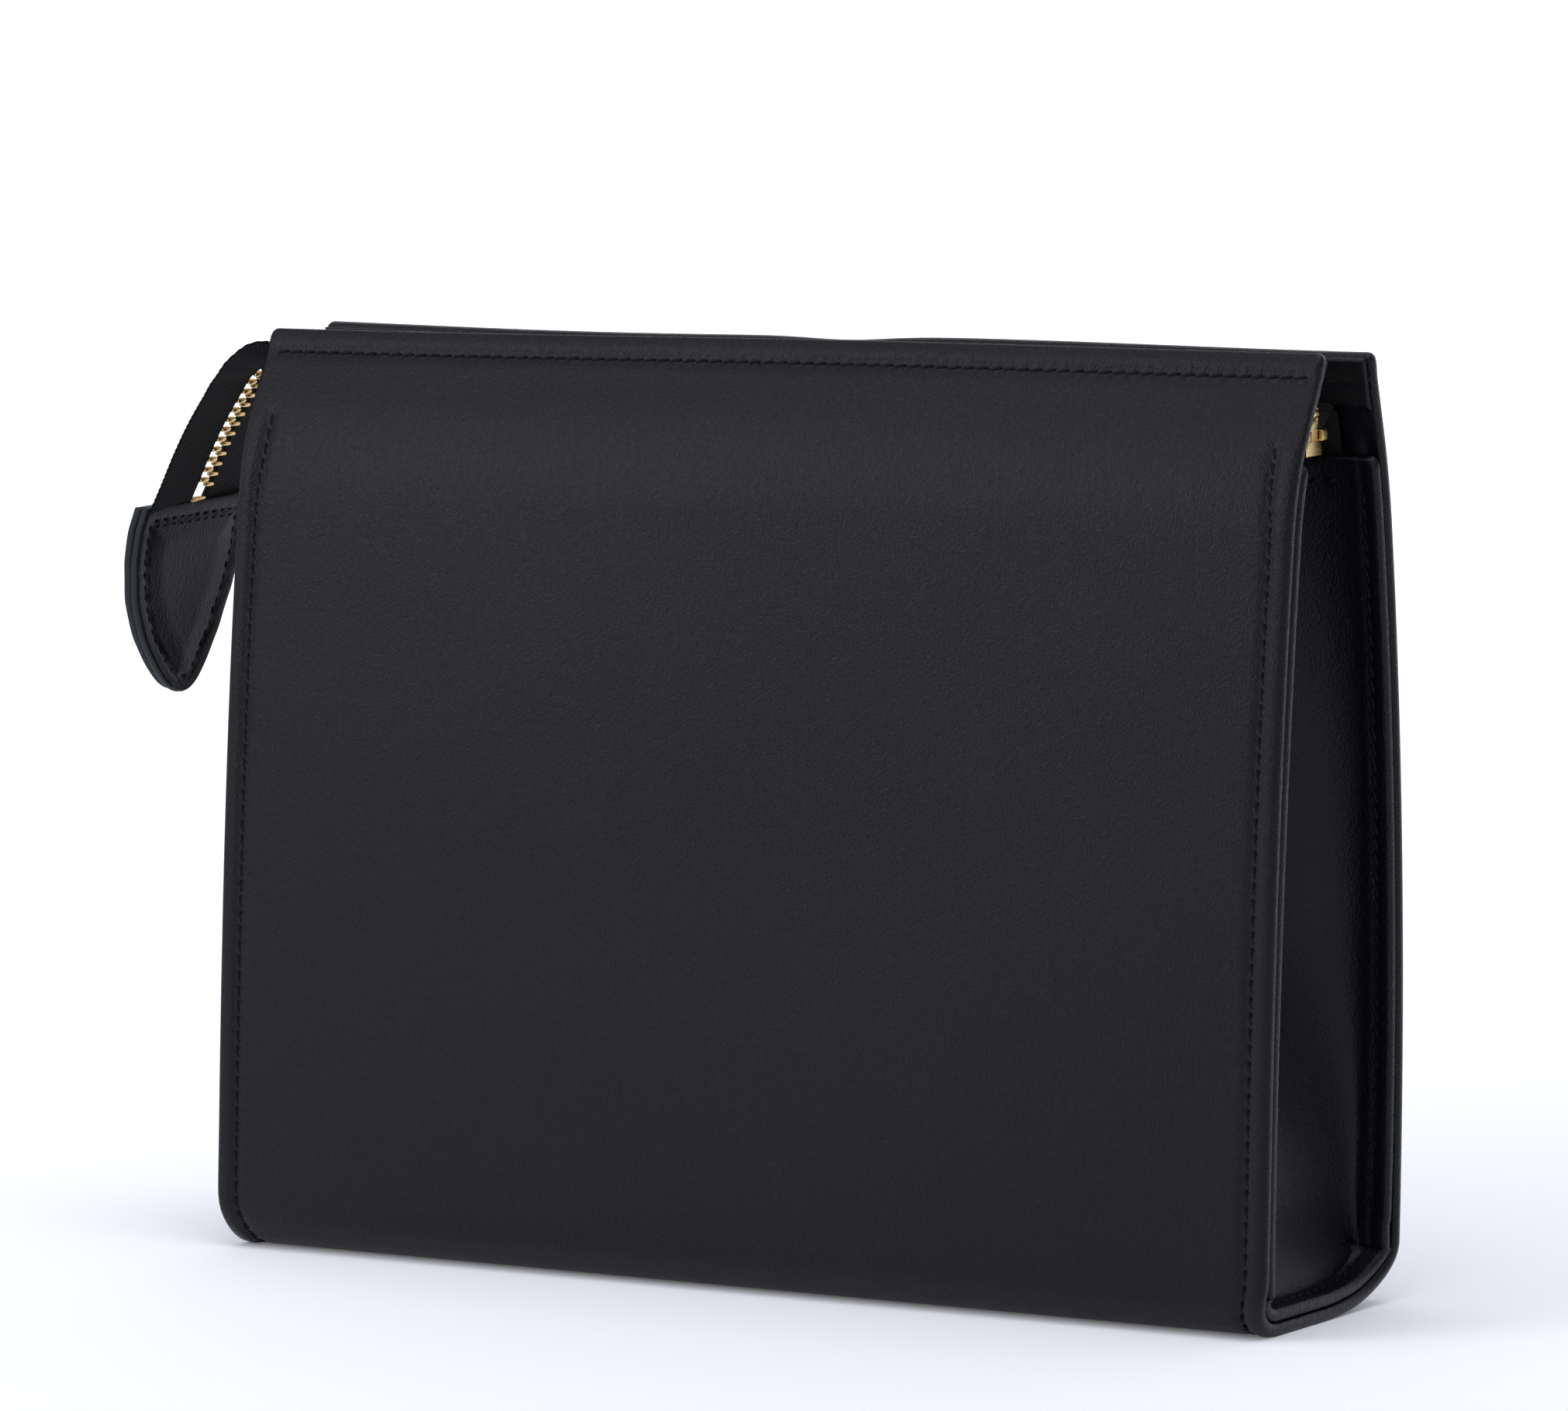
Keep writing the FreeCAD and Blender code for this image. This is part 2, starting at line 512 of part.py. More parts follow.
def tab_outline(inset):
    """A tongue: a straight top, parallel sides and two long curves to a blunt tip."""
    half, tip = f"(tab_half_width - ({inset}))", f"(tab_tip_half - ({inset}) * tab_tip_share)"
    top, low = f"-tab_top - ({inset})", f"-tab_tip + ({inset})"
    points = [(f"-{half}", top), (f"-{half}", "-tab_shoulder"), (f"-{tip}", low), (tip, low),
              (half, "-tab_shoulder"), (half, top)]
    return points, {1: ("tab_side_radius", 1), 2: ("tab_tip_radius", 1), 3: ("tab_side_radius", 1)}


tab_faces = {"tab_outer_leather": "-turn_radius - tape_thickness / 2 - tab_leather",
             "tab_inner_leather": "-turn_radius + tape_thickness / 2"}
for node, start in tab_faces.items():
    tab = new_body(node, tail_place)
    points, arcs = tab_outline("0")
    prism(tab, "YZ_Plane", points, "tab_leather", start, arcs)

tab_stitching = new_body("tab_stitching", tail_place)
ring = add_sketch(tab_stitching, "YZ_Plane", f"{tab_faces['tab_outer_leather']} - thread_height")
for inset in ("tab_stitch_inset", "tab_stitch_inset + thread_width"):
    add_outline(ring, *tab_outline(inset))
add_pad(tab_stitching, ring, "thread_height")

# ---------------------------------------------------------------- check and write
doc.recompute()
pieces = [item for item in doc.Objects
          if item.TypeId == "PartDesign::Body" or item.TypeId == "Part::Cylinder"]
for item in doc.Objects:
    if {"Invalid", "Error"} & set(item.State):
        raise RuntimeError(f"{item.Label} failed: {item.State}")
for piece in pieces:
    if piece.Shape.isNull() or not piece.Shape.isValid() or not piece.Shape.Solids:
        raise RuntimeError(f"{piece.Label} is not a valid solid")

os.makedirs("parts", exist_ok=True)
for piece in pieces:
    piece.Shape.exportStep(f"parts/{piece.Label}.step")
    box = piece.Shape.BoundBox
    print(f"{piece.Label}: {len(piece.Shape.Solids)} solid(s), {piece.Shape.Volume:.1f} mm3, "
          f"x {box.XMin:.1f}..{box.XMax:.1f} y {box.YMin:.1f}..{box.YMax:.1f} "
          f"z {box.ZMin:.1f}..{box.ZMax:.1f}")
print(f"{len(pieces)} nodes written")
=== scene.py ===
# %% [markdown]
# # A flat-top leather makeup bag
# The bag is one U of black leather (front, base, back) on flexible board, two folded gussets,
# and a metal zip sunk between the rims whose end hangs out at the left under a leather tab.
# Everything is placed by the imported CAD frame, so that frame is loaded before anything is made.

# %% Load the frame
import math

import bmesh
import bpy
import numpy as np
from mathutils import Matrix, Vector


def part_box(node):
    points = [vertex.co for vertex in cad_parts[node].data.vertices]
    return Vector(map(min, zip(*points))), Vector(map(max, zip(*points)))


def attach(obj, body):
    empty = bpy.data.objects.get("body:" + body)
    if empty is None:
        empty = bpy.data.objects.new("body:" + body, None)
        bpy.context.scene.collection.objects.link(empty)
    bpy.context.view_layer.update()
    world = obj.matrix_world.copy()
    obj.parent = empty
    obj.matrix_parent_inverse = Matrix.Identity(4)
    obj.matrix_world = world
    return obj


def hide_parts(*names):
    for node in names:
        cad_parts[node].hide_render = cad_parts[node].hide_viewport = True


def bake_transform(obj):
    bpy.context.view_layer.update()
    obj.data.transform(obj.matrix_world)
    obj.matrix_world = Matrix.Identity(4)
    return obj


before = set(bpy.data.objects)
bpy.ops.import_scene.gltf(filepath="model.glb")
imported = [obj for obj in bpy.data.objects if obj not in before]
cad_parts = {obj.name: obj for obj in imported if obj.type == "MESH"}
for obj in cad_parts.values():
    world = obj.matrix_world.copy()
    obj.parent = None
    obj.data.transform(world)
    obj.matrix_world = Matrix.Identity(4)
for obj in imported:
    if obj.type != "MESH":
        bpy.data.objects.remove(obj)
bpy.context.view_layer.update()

MM = 0.001

# %% [markdown]
# ## Camera, floor and light
# The camera stands far away with a long lens, so that the bag's upright lines stay upright. It
# is set by its direction, distance and lens. The floor is one pale sheet that curves up behind
# the bag, as in a studio: a plane and a wall would leave a line between them. Soft area lights
# and a white world give the broad, dim highlights that leather shows.

# %% Camera
AZIMUTH, ELEVATION, ROLL = (math.radians(angle) for angle in (32.35, 5.87, -0.68))
DISTANCE, LENS, SENSOR = 1.9332, 208.5, 36.0
AIM_RIGHT, AIM_UP, AIM_HEIGHT = -0.0010, 0.0221, 0.1

away = Vector((math.sin(AZIMUTH) * math.cos(ELEVATION), -math.cos(AZIMUTH) * math.cos(ELEVATION),
               math.sin(ELEVATION)))
level = Vector((math.cos(AZIMUTH), math.sin(AZIMUTH), 0))
upright = away.cross(level)
aim = Vector((0, 0, AIM_HEIGHT)) + level * AIM_RIGHT + upright * AIM_UP
screen_right = level * math.cos(ROLL) + upright * math.sin(ROLL)
screen_up = upright * math.cos(ROLL) - level * math.sin(ROLL)

camera_data = bpy.data.cameras.new("camera")
camera_data.lens, camera_data.sensor_width, camera_data.clip_end = LENS, SENSOR, 50
camera = bpy.data.objects.new("camera", camera_data)
turn = Matrix((screen_right, screen_up, away)).transposed().to_4x4()
camera.matrix_world = Matrix.Translation(aim + away * DISTANCE) @ turn
bpy.context.scene.collection.objects.link(camera)
bpy.context.scene.camera = camera
print("camera at", [round(value, 3) for value in camera.location])


# %% [markdown]
# ## Surfaces from arrays
# Leather, cloth and metal here are all surfaces over a grid of two parameters. One helper puts
# points and quads into a mesh. A second one, the slab, turns a single grid into a sheet with
# two sides and rounded edges, because leather goods show the thickness of each turned edge.


# %% Mesh helpers
SHARP = 55.0   # degrees over which an edge is shaded as a crease


def grid_quads(rows, columns):
    """Quads of a grid whose vertex number is row * columns + column."""
    corner = np.arange(rows * columns).reshape(rows, columns)
    return np.stack([corner[:-1, :-1], corner[:-1, 1:], corner[1:, 1:], corner[1:, :-1]],
                    axis=-1).reshape(-1, 4)


def smooth_faces(mesh):
    """Every face shaded as part of a curved surface."""
    mesh.polygons.foreach_set("use_smooth", np.ones(len(mesh.polygons), dtype=bool))


def add_piece(name, points, quads, flat=None, marks=None):
    """A mesh object from points in millimetres, with flat cut coordinates as its UV map.

    Points that coincide are merged, and then all faces are turned outwards."""
    mesh = bpy.data.meshes.new(name)
    mesh.vertices.add(len(points))
    mesh.vertices.foreach_set("co", (points * MM).astype(np.float32).ravel())
    mesh.loops.add(quads.size)
    mesh.loops.foreach_set("vertex_index", quads.astype(np.int32).ravel())
    mesh.polygons.add(len(quads))
    mesh.polygons.foreach_set("loop_start", np.arange(0, quads.size, 4, dtype=np.int32))
    mesh.update(calc_edges=True)
    if flat is not None:
        layer = mesh.uv_layers.new(name="flat")
        layer.uv.foreach_set("vector", (flat[quads.ravel()] * MM).astype(np.float32).ravel())
    for key, values in (marks or {}).items():
        mark = mesh.attributes.new(key, "FLOAT", "POINT")
        mark.data.foreach_set("value", values.astype(np.float32).ravel())
    shape = bmesh.new()
    shape.from_mesh(mesh)
    bmesh.ops.remove_doubles(shape, verts=shape.verts, dist=1e-7)
    bmesh.ops.dissolve_degenerate(shape, edges=shape.edges, dist=1e-8)
    bmesh.ops.recalc_face_normals(shape, faces=shape.faces)
    shape.to_mesh(mesh)
    shape.free()
    smooth_faces(mesh)
    mesh.set_sharp_from_angle(angle=math.radians(SHARP))
    piece = bpy.data.objects.new(name, mesh)
    bpy.context.scene.collection.objects.link(piece)
    return piece


def unit(vectors):
    """Vectors divided by their lengths."""
    return vectors / np.maximum(np.linalg.norm(vectors, axis=-1, keepdims=True), 1e-12)


def grid_normals(face):
    """Unit normals of a grid: the cross product of its steps along columns and rows."""
    return unit(np.cross(np.gradient(face, axis=1), np.gradient(face, axis=0)))


def run_length(points):
    """Length along a row of points, from the first one."""
    return np.concatenate([[0], np.cumsum(np.linalg.norm(np.diff(points, axis=0), axis=1))])


def read_at(spots, length, values):
    """Each column of the values, read at lengths along a path."""
    return np.stack([np.interp(spots, length, column) for column in values.T], axis=-1)


def hermite(start, slope0, end, slope1, t):
    """Cubic from start to end: (2t^3 - 3t^2 + 1) start + (t^3 - 2t^2 + t) slope0 and their mirrors."""
    return ((2 * t**3 - 3 * t**2 + 1) * start + (t**3 - 2 * t**2 + t) * slope0
            + (3 * t**2 - 2 * t**3) * end + (t**3 - t**2) * slope1)


def smooth_step(value):
    """0 below 0, 1 above 1, and 3t^2 - 2t^3 between."""
    t = np.clip(value, 0, 1)
    return t * t * (3 - 2 * t)


def slab(name, face, edge_distance, thickness, roundness, good_side=1.0, flat=None):
    """A closed sheet: its good side is the grid `face`, its other side lies `thickness` behind.

    Near the outline the two sides meet on half an ellipse: at a distance d from the edge they
    stand at (thickness / 2)(1 -/+ sin a) behind the grid, where cos a = 1 - d / roundness."""
    rows, columns = face.shape[:2]
    behind = -good_side * grid_normals(face)
    swell = np.sin(np.arccos(1 - np.clip(edge_distance / roundness, 0, 1)))
    half = np.broadcast_to(thickness, swell.shape) / 2
    near = face + behind * (half * (1 - swell))[..., None]
    far = face + behind * (half * (1 + swell))[..., None]
    points = np.concatenate([near.reshape(-1, 3), far.reshape(-1, 3)])
    front = grid_quads(rows, columns)
    count = rows * columns
    index = np.arange(count).reshape(rows, columns)
    border = np.concatenate([index[0, :], index[1:, -1], index[-1, -2::-1], index[-2::-1, 0]])
    skirt = np.stack([border[:-1], border[1:], border[1:] + count, border[:-1] + count], axis=-1)
    quads = np.concatenate([front, front[:, ::-1] + count, skirt])
    if flat is None:
        flat = np.zeros((rows, columns, 2))
    flat = np.concatenate([flat.reshape(-1, 2)] * 2)
    marks = {"rim": np.concatenate([(1 - swell).ravel()] * 2),
             "edge": np.concatenate([np.broadcast_to(edge_distance, swell.shape).ravel()] * 2)}
    return add_piece(name, points, quads, flat, marks)


def edge_steps(roundness, count=4):
    """Distances from an edge at which a rounded edge is sampled: r (1 - cos a)."""
    return roundness * (1 - np.cos(np.linspace(0, math.pi / 2, count)))


def box_distance(across, half, down, corner):
    """Distance inward from the top and sides of a sheet whose top corners are rounded."""
    beside, above = np.abs(across) - (half - corner), corner - down
    outside = np.hypot(np.maximum(beside, 0), np.maximum(above, 0))
    return np.maximum(corner - outside - np.minimum(np.maximum(beside, above), 0), 0)


def sheet_edge(run, beside):
    """Distance inward from the ends of a sheet's run and from its sides."""
    return np.minimum(np.minimum(run, run[-1, 0] - run), beside)


print("helpers ready")

# %% [markdown]
# ## The line of a wall
# Seen from its end the bag is a U: a base that is flat in front and rises a few millimetres
# towards the back, two tight corners and two walls that lean in,
# more steeply near the rim where the hand has pressed them to the zip. Each side is one line
# through a few stations, each with its lean, joined by cubic curves that match arcs of circles.

# %% Wall lines
BASE_FLAT, CORNER = 19.2, 10.0
TOP = {side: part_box(f"{side}_panel")[1].z / MM for side in ("front", "back")}
SIGN = {"front": -1.0, "back": 1.0}
ENDS = {"left": -1, "right": 1}
STATIONS = {  # out from the centre plane, height, lean inwards in degrees
    "front": [(0, 0, -90), (BASE_FLAT, 0, -90), (BASE_FLAT + CORNER, CORNER, 2.2),
              (16.3, 164, 7.5), (9.34, 186, 28), (1.9, TOP["front"], 28)],
    "back": [(0, 0, -90), (10, 0.6, -84), (20, 3.0, -68), (BASE_FLAT + CORNER, 12.6, -4.1),
             (27.3, 164, 5.5), (23.91, 184, 13.4), (20.1, TOP["back"], 13.4)],
}


def arc_like(start, end, step=0.2):
    """Cubic Hermite curve between two stations.

    Its end tangents are chord * 2 tan(t / 4) / sin(t / 2) long, as for an arc that turns by t."""
    (x0, z0, lean0), (x1, z1, lean1) = start, end
    chord = math.hypot(x1 - x0, z1 - z0)
    turned = math.radians(max(abs(lean1 - lean0), 0.01))
    reach = chord * 2 * math.tan(turned / 4) / math.sin(turned / 2)
    t = np.linspace(0, 1, max(int(chord / step), 8))
    aim0, aim1 = (reach * np.array([-math.sin(a), math.cos(a)]) for a in np.radians([lean0, lean1]))
    ends = np.array([x0, z0]), np.array([x1, z1])
    return hermite(ends[0], aim0, ends[1], aim1, t[:, None])


def line_through(stations):
    """Length along the line, out, height and lean (radians), from the base's middle to the rim."""
    runs = [arc_like(a, b) for a, b in zip(stations, stations[1:])]
    line = np.concatenate([runs[0]] + [run[1:] for run in runs[1:]])
    step = np.diff(line, axis=0)
    length = np.concatenate([[0], np.cumsum(np.hypot(*step.T))])
    ahead = np.gradient(line, length, axis=0)
    return {"s": length, "out": line[:, 0], "z": line[:, 1],
            "lean": np.arctan2(-ahead[:, 0], ahead[:, 1])}


LINES = {side: line_through(stations) for side, stations in STATIONS.items()}
RIM_S = {side: line["s"][-1] for side, line in LINES.items()}


def length_at(side, height):
    """Length along the wall's line at a height above the corner."""
    line = LINES[side]
    wall = line["s"] > BASE_FLAT + CORNER
    return np.interp(height, line["z"][wall], line["s"][wall])


def ripple(side, x, s):
    """Slow unevenness of the leather over its board, in millimetres outwards.

    Two crossed sine waves, faded out at the base and at the rim."""
    phase = 0.0 if side == "front" else 2.1
    wave = 0.34 * np.sin(x / 43 + 0.6 + phase) * np.sin(s / 35) + 0.2 * np.sin(x / 24 - s / 49 + phase)
    return wave * smooth_step((s - 25) / 30) * smooth_step((RIM_S[side] - s) / 20)


def rim_wander(side, x):
    """How far the rim's top edge wanders up or down along its length, in millimetres."""
    if side == "front":
        return 0.67 + 0.003 * x + 0.22 * np.sin(x / 37 + 1.0)
    return 0.15 * (x / HALF_RIM) ** 2 + 0.4 * np.sin(x / 31 + 0.4) - 0.8 * np.exp(-((x - 4) / 13) ** 2)


def on_wall(side, x, s, inward=0.0):
    """Point at x and length s on a wall's outer face, moved inward, and the outward normal."""
    line = LINES[side]
    out, z, lean = (np.interp(s, line["s"], line[key]) for key in ("out", "z", "lean"))
    depth = inward - ripple(side, x, s)
    out_n, z_n = np.cos(lean), np.sin(lean)
    lift = rim_wander(side, x) * smooth_step((s - RIM_S[side] + 30) / 30)
    point = np.stack([x + 0 * s, SIGN[side] * (out - depth * out_n), z - depth * z_n + lift], axis=-1)
    normal = np.stack([0 * (x + s), SIGN[side] * (out_n + 0 * x), z_n + 0 * x], axis=-1)
    return point, normal


print("length from the base's middle to the rim:", {side: round(s, 1) for side, s in RIM_S.items()})

# %% [markdown]
# ## The leather shell
# The real shell is one piece of leather, bag-wide, that runs from rim to rim under the base.
# Its sides and rims are turned over and stitched, which makes them twice as thick and rounded.
# The stitches pull the leather down into a groove with a small dent at every hole. Here the
# shell is two halves that meet under the base, because each wall opens on its own hinge line:
# a half follows the base below its corner, its wall above it, and bends between.

# %% Shell sizes
PITCH = 3.3            # stitch length
STEP = PITCH / 3       # grid step, so that every stitch hole is sampled alike
LEATHER, HEM = 1.25, 2.8
TURNED = 0.75          # how far in from an edge its rounding reaches
HEM_WIDTH = 9.0
SEAM_INSET, RIM_SEAM = 5.0, 5.8
SEAM_TOP = 182.0
HALF_RIM, HALF_BASE = 131.5, 131.4
RIM_CORNER = 1.7
TUCK = 2.0             # how far the side edges draw in as they turn under the base


def half_width(side, s):
    """Half the shell's width along its line: wider towards the rim, drawn in under the base."""
    z = np.interp(s, LINES[side]["s"], LINES[side]["z"])
    return (HALF_BASE + (HALF_RIM - HALF_BASE) * z / TOP[side]
            - TUCK * smooth_step((13 - z) / 13))


def stitch_dent(distance, along, depth=0.9, width=1.05):
    """Groove along a seam with a deeper dent at each hole: a bell curve times
    0.66 + 0.34 cos(2 pi along / pitch)."""
    return depth * np.exp(-(distance / width) ** 2) * (0.66 + 0.34 * np.cos(2 * math.pi * along / PITCH))


def seam_inset(side, s):
    """The side seam wanders inwards over its last 22 mm."""
    z = np.interp(s, LINES[side]["s"], LINES[side]["z"])
    return SEAM_INSET + 1.3 * smooth_step((z - SEAM_TOP + 22) / 22)


# %% Shell halves
def shell_half(side, name):
    """Half of the shell, from the middle of the base to the rim, as a slab with rounded edges."""
    top, radius, corner = RIM_S[side], TURNED, RIM_CORNER
    down = np.concatenate([edge_steps(radius), np.arange(radius + 0.55, top - 45, STEP)])
    down = np.concatenate([down, np.linspace(down[-1] + 1.4, top, 28)])
    s = (top - down)[::-1]
    inner = np.arange(0, HALF_BASE - radius - 0.6, STEP)
    inner = np.concatenate([-inner[:0:-1], inner])
    steps = edge_steps(radius)
    half = half_width(side, s)
    drop = top - s
    rounding = np.clip(corner - drop, 0, corner)
    half = half - corner + np.sqrt(corner**2 - rounding**2)
    field = (half - radius)[:, None] * inner[None, :] / (HALF_BASE - radius)
    x = np.concatenate([-half[:, None] + steps[None, :], field, (half[:, None] - steps[None, :])[:, ::-1]],
                       axis=1)
    s_grid = np.broadcast_to(s[:, None], x.shape)
    edge = box_distance(x, half_width(side, s)[:, None], drop[:, None], corner)
    beside = half_width(side, s)[:, None] - np.abs(x)
    face, normal = on_wall(side, x, s_grid)
    seam_top = length_at(side, SEAM_TOP)
    side_seam = smooth_step((seam_top + 2 - s_grid) / 4)
    dent = stitch_dent(beside - seam_inset(side, s)[:, None], s_grid) * side_seam
    rim_seam = smooth_step((beside - 1.5) / 1.5)
    dent += stitch_dent(drop[:, None] - RIM_SEAM, x) * rim_seam
    roll = 0.35 * np.exp(-((drop[:, None] - 2.6) / 1.7) ** 2)
    roll = roll + 0.3 * np.exp(-((beside - 2.8) / 1.8) ** 2) * side_seam
    face = face + normal * (roll - dent)[..., None]
    hem = smooth_step((HEM_WIDTH + 1 - edge))
    thickness = LEATHER + (HEM - LEATHER) * hem
    flat = np.stack([x, s_grid], axis=-1)
    return slab(name, face, edge, thickness, radius, -SIGN[side], flat)


shells = {side: shell_half(side, f"{side}_shell") for side in SIGN}
for side, shell in shells.items():
    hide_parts(f"{side}_panel", "base_panel")
    print(shell.name, len(shell.data.polygons), "faces")


# %% [markdown]
# ## Stitches
# A lock stitch shows as a row of short bars of thread, a little slanted, each diving into the
# leather at both ends. All the bars of a seam are one mesh: a small bent bar of 28 faces is
# placed at every stitch by its centre, its direction and the leather's normal.


# %% Stitch rows
BAR_RINGS, BAR_SIDES = 5, 6
FLATTENED, SINK = 0.85, 0.12    # how round a thread stays, and how deep its bar lies


def bar_quads(rings, sides):
    """Quads of a closed tube of rings, with each end closed by two quads (six-sided rings)."""
    ring = np.arange(sides)
    tube = [np.stack([k * sides + ring, k * sides + (ring + 1) % sides,
                      (k + 1) * sides + (ring + 1) % sides, (k + 1) * sides + ring], axis=-1)
            for k in range(rings - 1)]
    last = (rings - 1) * sides
    caps = np.array([[0, 5, 4, 1], [1, 4, 3, 2],
                     [last, last + 1, last + 4, last + 5], [last + 1, last + 2, last + 3, last + 4]])
    return np.concatenate(tube + [caps])


def stitches(name, centres, along, normals, length=2.8, width=0.9, rise=0.26, slant=14.0):
    """Bars of thread. Point (q, a) of a bar is centre + q L/2 along + width(q) (cos a, 0.85 sin a)
    + (rise (1 - q^2) - sink) outwards, for q from -1 to 1."""
    along, normals = unit(along), unit(normals)
    beside = np.cross(normals, along)
    tilt = math.radians(slant)
    along, beside = (along * math.cos(tilt) + beside * math.sin(tilt),
                     beside * math.cos(tilt) - along * math.sin(tilt))
    q = np.linspace(-1, 1, BAR_RINGS)
    angle = np.arange(BAR_SIDES) * 2 * math.pi / BAR_SIDES
    girth = width / 2 * np.sqrt(1 - 0.75 * q**2)
    ahead = (q * length / 2)[:, None] + 0 * angle
    wide = girth[:, None] * np.cos(angle)
    high = girth[:, None] * np.sin(angle) * FLATTENED + (rise * (1 - q**2) - SINK)[:, None]
    bars = (centres[:, None, None, :] + ahead[..., None] * along[:, None, None, :]
            + wide[..., None] * beside[:, None, None, :] + high[..., None] * normals[:, None, None, :])
    quads = bar_quads(BAR_RINGS, BAR_SIDES)
    all_quads = (np.arange(len(centres))[:, None, None] * BAR_RINGS * BAR_SIDES + quads).reshape(-1, 4)
    flat = np.stack([ahead, wide], axis=-1)
    flat = np.broadcast_to(flat, (len(centres),) + flat.shape).reshape(-1, 2)
    piece = add_piece(name, bars.reshape(-1, 3), all_quads, flat)
    return piece


def along_path(points, normals, pitch=PITCH):
    """Centres, directions and normals at every pitch along a dense path."""
    length = run_length(points)
    count = int(length[-1] // pitch)
    spots = (np.arange(count) + 0.5) * pitch + (length[-1] - count * pitch) / 2
    ahead = np.gradient(points, length, axis=0)
    return tuple(read_at(spots, length, values) for values in (points, ahead, normals))


def wall_seam(name, side, x, s, sink, face=1.0, **bar):
    """A row of stitches on a wall: face 1 is its outer side, -1 its inner side."""
    points, normals = on_wall(side, x, s, sink)
    return stitches(name, *along_path(points, normals * face), **bar)


# %% Seams of the shell
GROOVE = 0.5
seams = []
for side in SIGN:
    rim_x = np.linspace(-HALF_RIM + 1.4, HALF_RIM - 1.4, 900)
    rim_s = np.full_like(rim_x, RIM_S[side] - RIM_SEAM)
    row = wall_seam(f"{side}_rim_stitches", side, rim_x, rim_s, GROOVE)
    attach(row, f"{side}_wall")
    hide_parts(f"{side}_rim_stitching")
    seams.append(row)
    seam_s = np.linspace(3.0, length_at(side, SEAM_TOP), 900)
    for end, hand in ENDS.items():
        seam_x = hand * (half_width(side, seam_s) - seam_inset(side, seam_s))
        row = wall_seam(f"{side}_{end}_seam_stitches", side, seam_x, seam_s, GROOVE)
        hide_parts(f"{side}_{end}_seam_stitching")
        seams.append(row)
print(len(seams), "seams on the shell")

# %% [markdown]
# ## Rim facings
# Inside each rim a strip of the same leather hides the tape's seam. It is cut by hand, so its
# lower edge waves. It is another slab, thinner, laid on the inner side of the wall.

# %% Facings
FACING, FACING_TOP, FACING_DROP = 1.3, 0.7, 10.6
FACING_HALF = 130.6


def rim_facing(side, name):
    """Strip inside a rim, from just under its top edge down to a waving lower edge."""
    radius = FACING / 2
    x = np.concatenate([edge_steps(radius), np.linspace(1.4, 2 * FACING_HALF - 1.4, 230),
                        2 * FACING_HALF - edge_steps(radius)[::-1]]) - FACING_HALF
    low = FACING_DROP + 0.7 * np.sin(x / 9) + 0.5 * np.sin(x / 4.1 + 1)
    tall = low - FACING_TOP
    share = np.concatenate([edge_steps(radius), np.linspace(1.2, FACING_DROP - 1.4, 9),
                            FACING_DROP - edge_steps(radius)[::-1]]) / FACING_DROP
    down = FACING_TOP + share[:, None] * tall[None, :]
    x_grid = np.broadcast_to(x, down.shape)
    edge = np.minimum(np.minimum(down - FACING_TOP, low - down), FACING_HALF - np.abs(x_grid))
    bump = 0.25 * np.sin(x_grid / 7 + down / 3) * smooth_step((down - 6) / 4)
    dent = stitch_dent(down - RIM_SEAM, x_grid, 0.35, 0.9)
    face, _ = on_wall(side, x_grid, RIM_S[side] - down, HEM + FACING + 0.05 + bump - dent)
    return slab(name, face, np.maximum(edge, 0), FACING, radius, -SIGN[side])


facings = []
for side in SIGN:
    facing = rim_facing(side, f"{side}_facing")
    row = wall_seam(f"{side}_facing_stitches", side, np.linspace(-FACING_HALF + 3, FACING_HALF - 3, 900),
                    np.full(900, RIM_S[side] - RIM_SEAM), HEM + FACING - 0.25, -1.0)
    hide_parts(f"{side}_rim_facing")
    for piece in (facing, row):
        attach(piece, f"{side}_wall")
    facings.append(facing)
    seams.append(row)
print("facings", len(facings[0].data.polygons), "faces each")

# %% [markdown]
# ## Gussets
# A gusset closes each end. It is leather with turned flanges sewn inside the front, back and
# base edges, and between them a web that folds inwards, hardly at all at the bottom and deeply
# at the top. In plan each half is a straight flange, a tight bend and a curve to the fold. The
# two halves are separate pieces, because one follows the front wall and one the back wall.

# %% Gusset plan
FLANGE_FACE = 5.7      # the flange's visible face, inward from the wall's outer face
FLANGE_THICK, WEB = 2.8, 1.1
ROOT = 6.4             # from the flange's free edge to where the web starts
GUSSET_TOP, GUSSET_FOOT = 177.5, 4.2
FLANGE_FOOT = {"front": 8.3, "back": 11.4}
GUSSET_HALF_CUT = 27.6
HEM_TALL = 4.6
FLANGE_SEAM = 3.9
HOLLOW = 4.5           # how far the web sinks in, above the base
FOLD_FOOT = (0.0, 12.0)
FOLD_TOP = (5.6, GUSSET_TOP)
HEM_SEAM_COLUMN = 14   # column of a half gusset where its hem's stitches start, inside the web


def fold_y(z):
    """The fold stands on a straight line that leans back towards the top."""
    return FOLD_FOOT[0] + (FOLD_TOP[0] - FOLD_FOOT[0]) * (z - FOLD_FOOT[1]) / (FOLD_TOP[1] - FOLD_FOOT[1])


def wall_out(side, z, inward):
    """Distance from the centre plane to a wall's face, `inward` of its outer face, at a height."""
    s = length_at(side, z)
    line = LINES[side]
    return np.interp(s, line["s"], line["out"]) - inward / np.cos(np.interp(s, line["s"], line["lean"]))


def fold_depth(z):
    """Depth of the fold: the cut width stays the same while the walls close in on it."""
    gap = (wall_out("front", np.maximum(z, 20), 4) + wall_out("back", np.maximum(z, 20), 4)) / 2
    return np.sqrt(np.maximum(GUSSET_HALF_CUT**2 - gap**2, 0)) * smooth_step((z - 30) / 50)


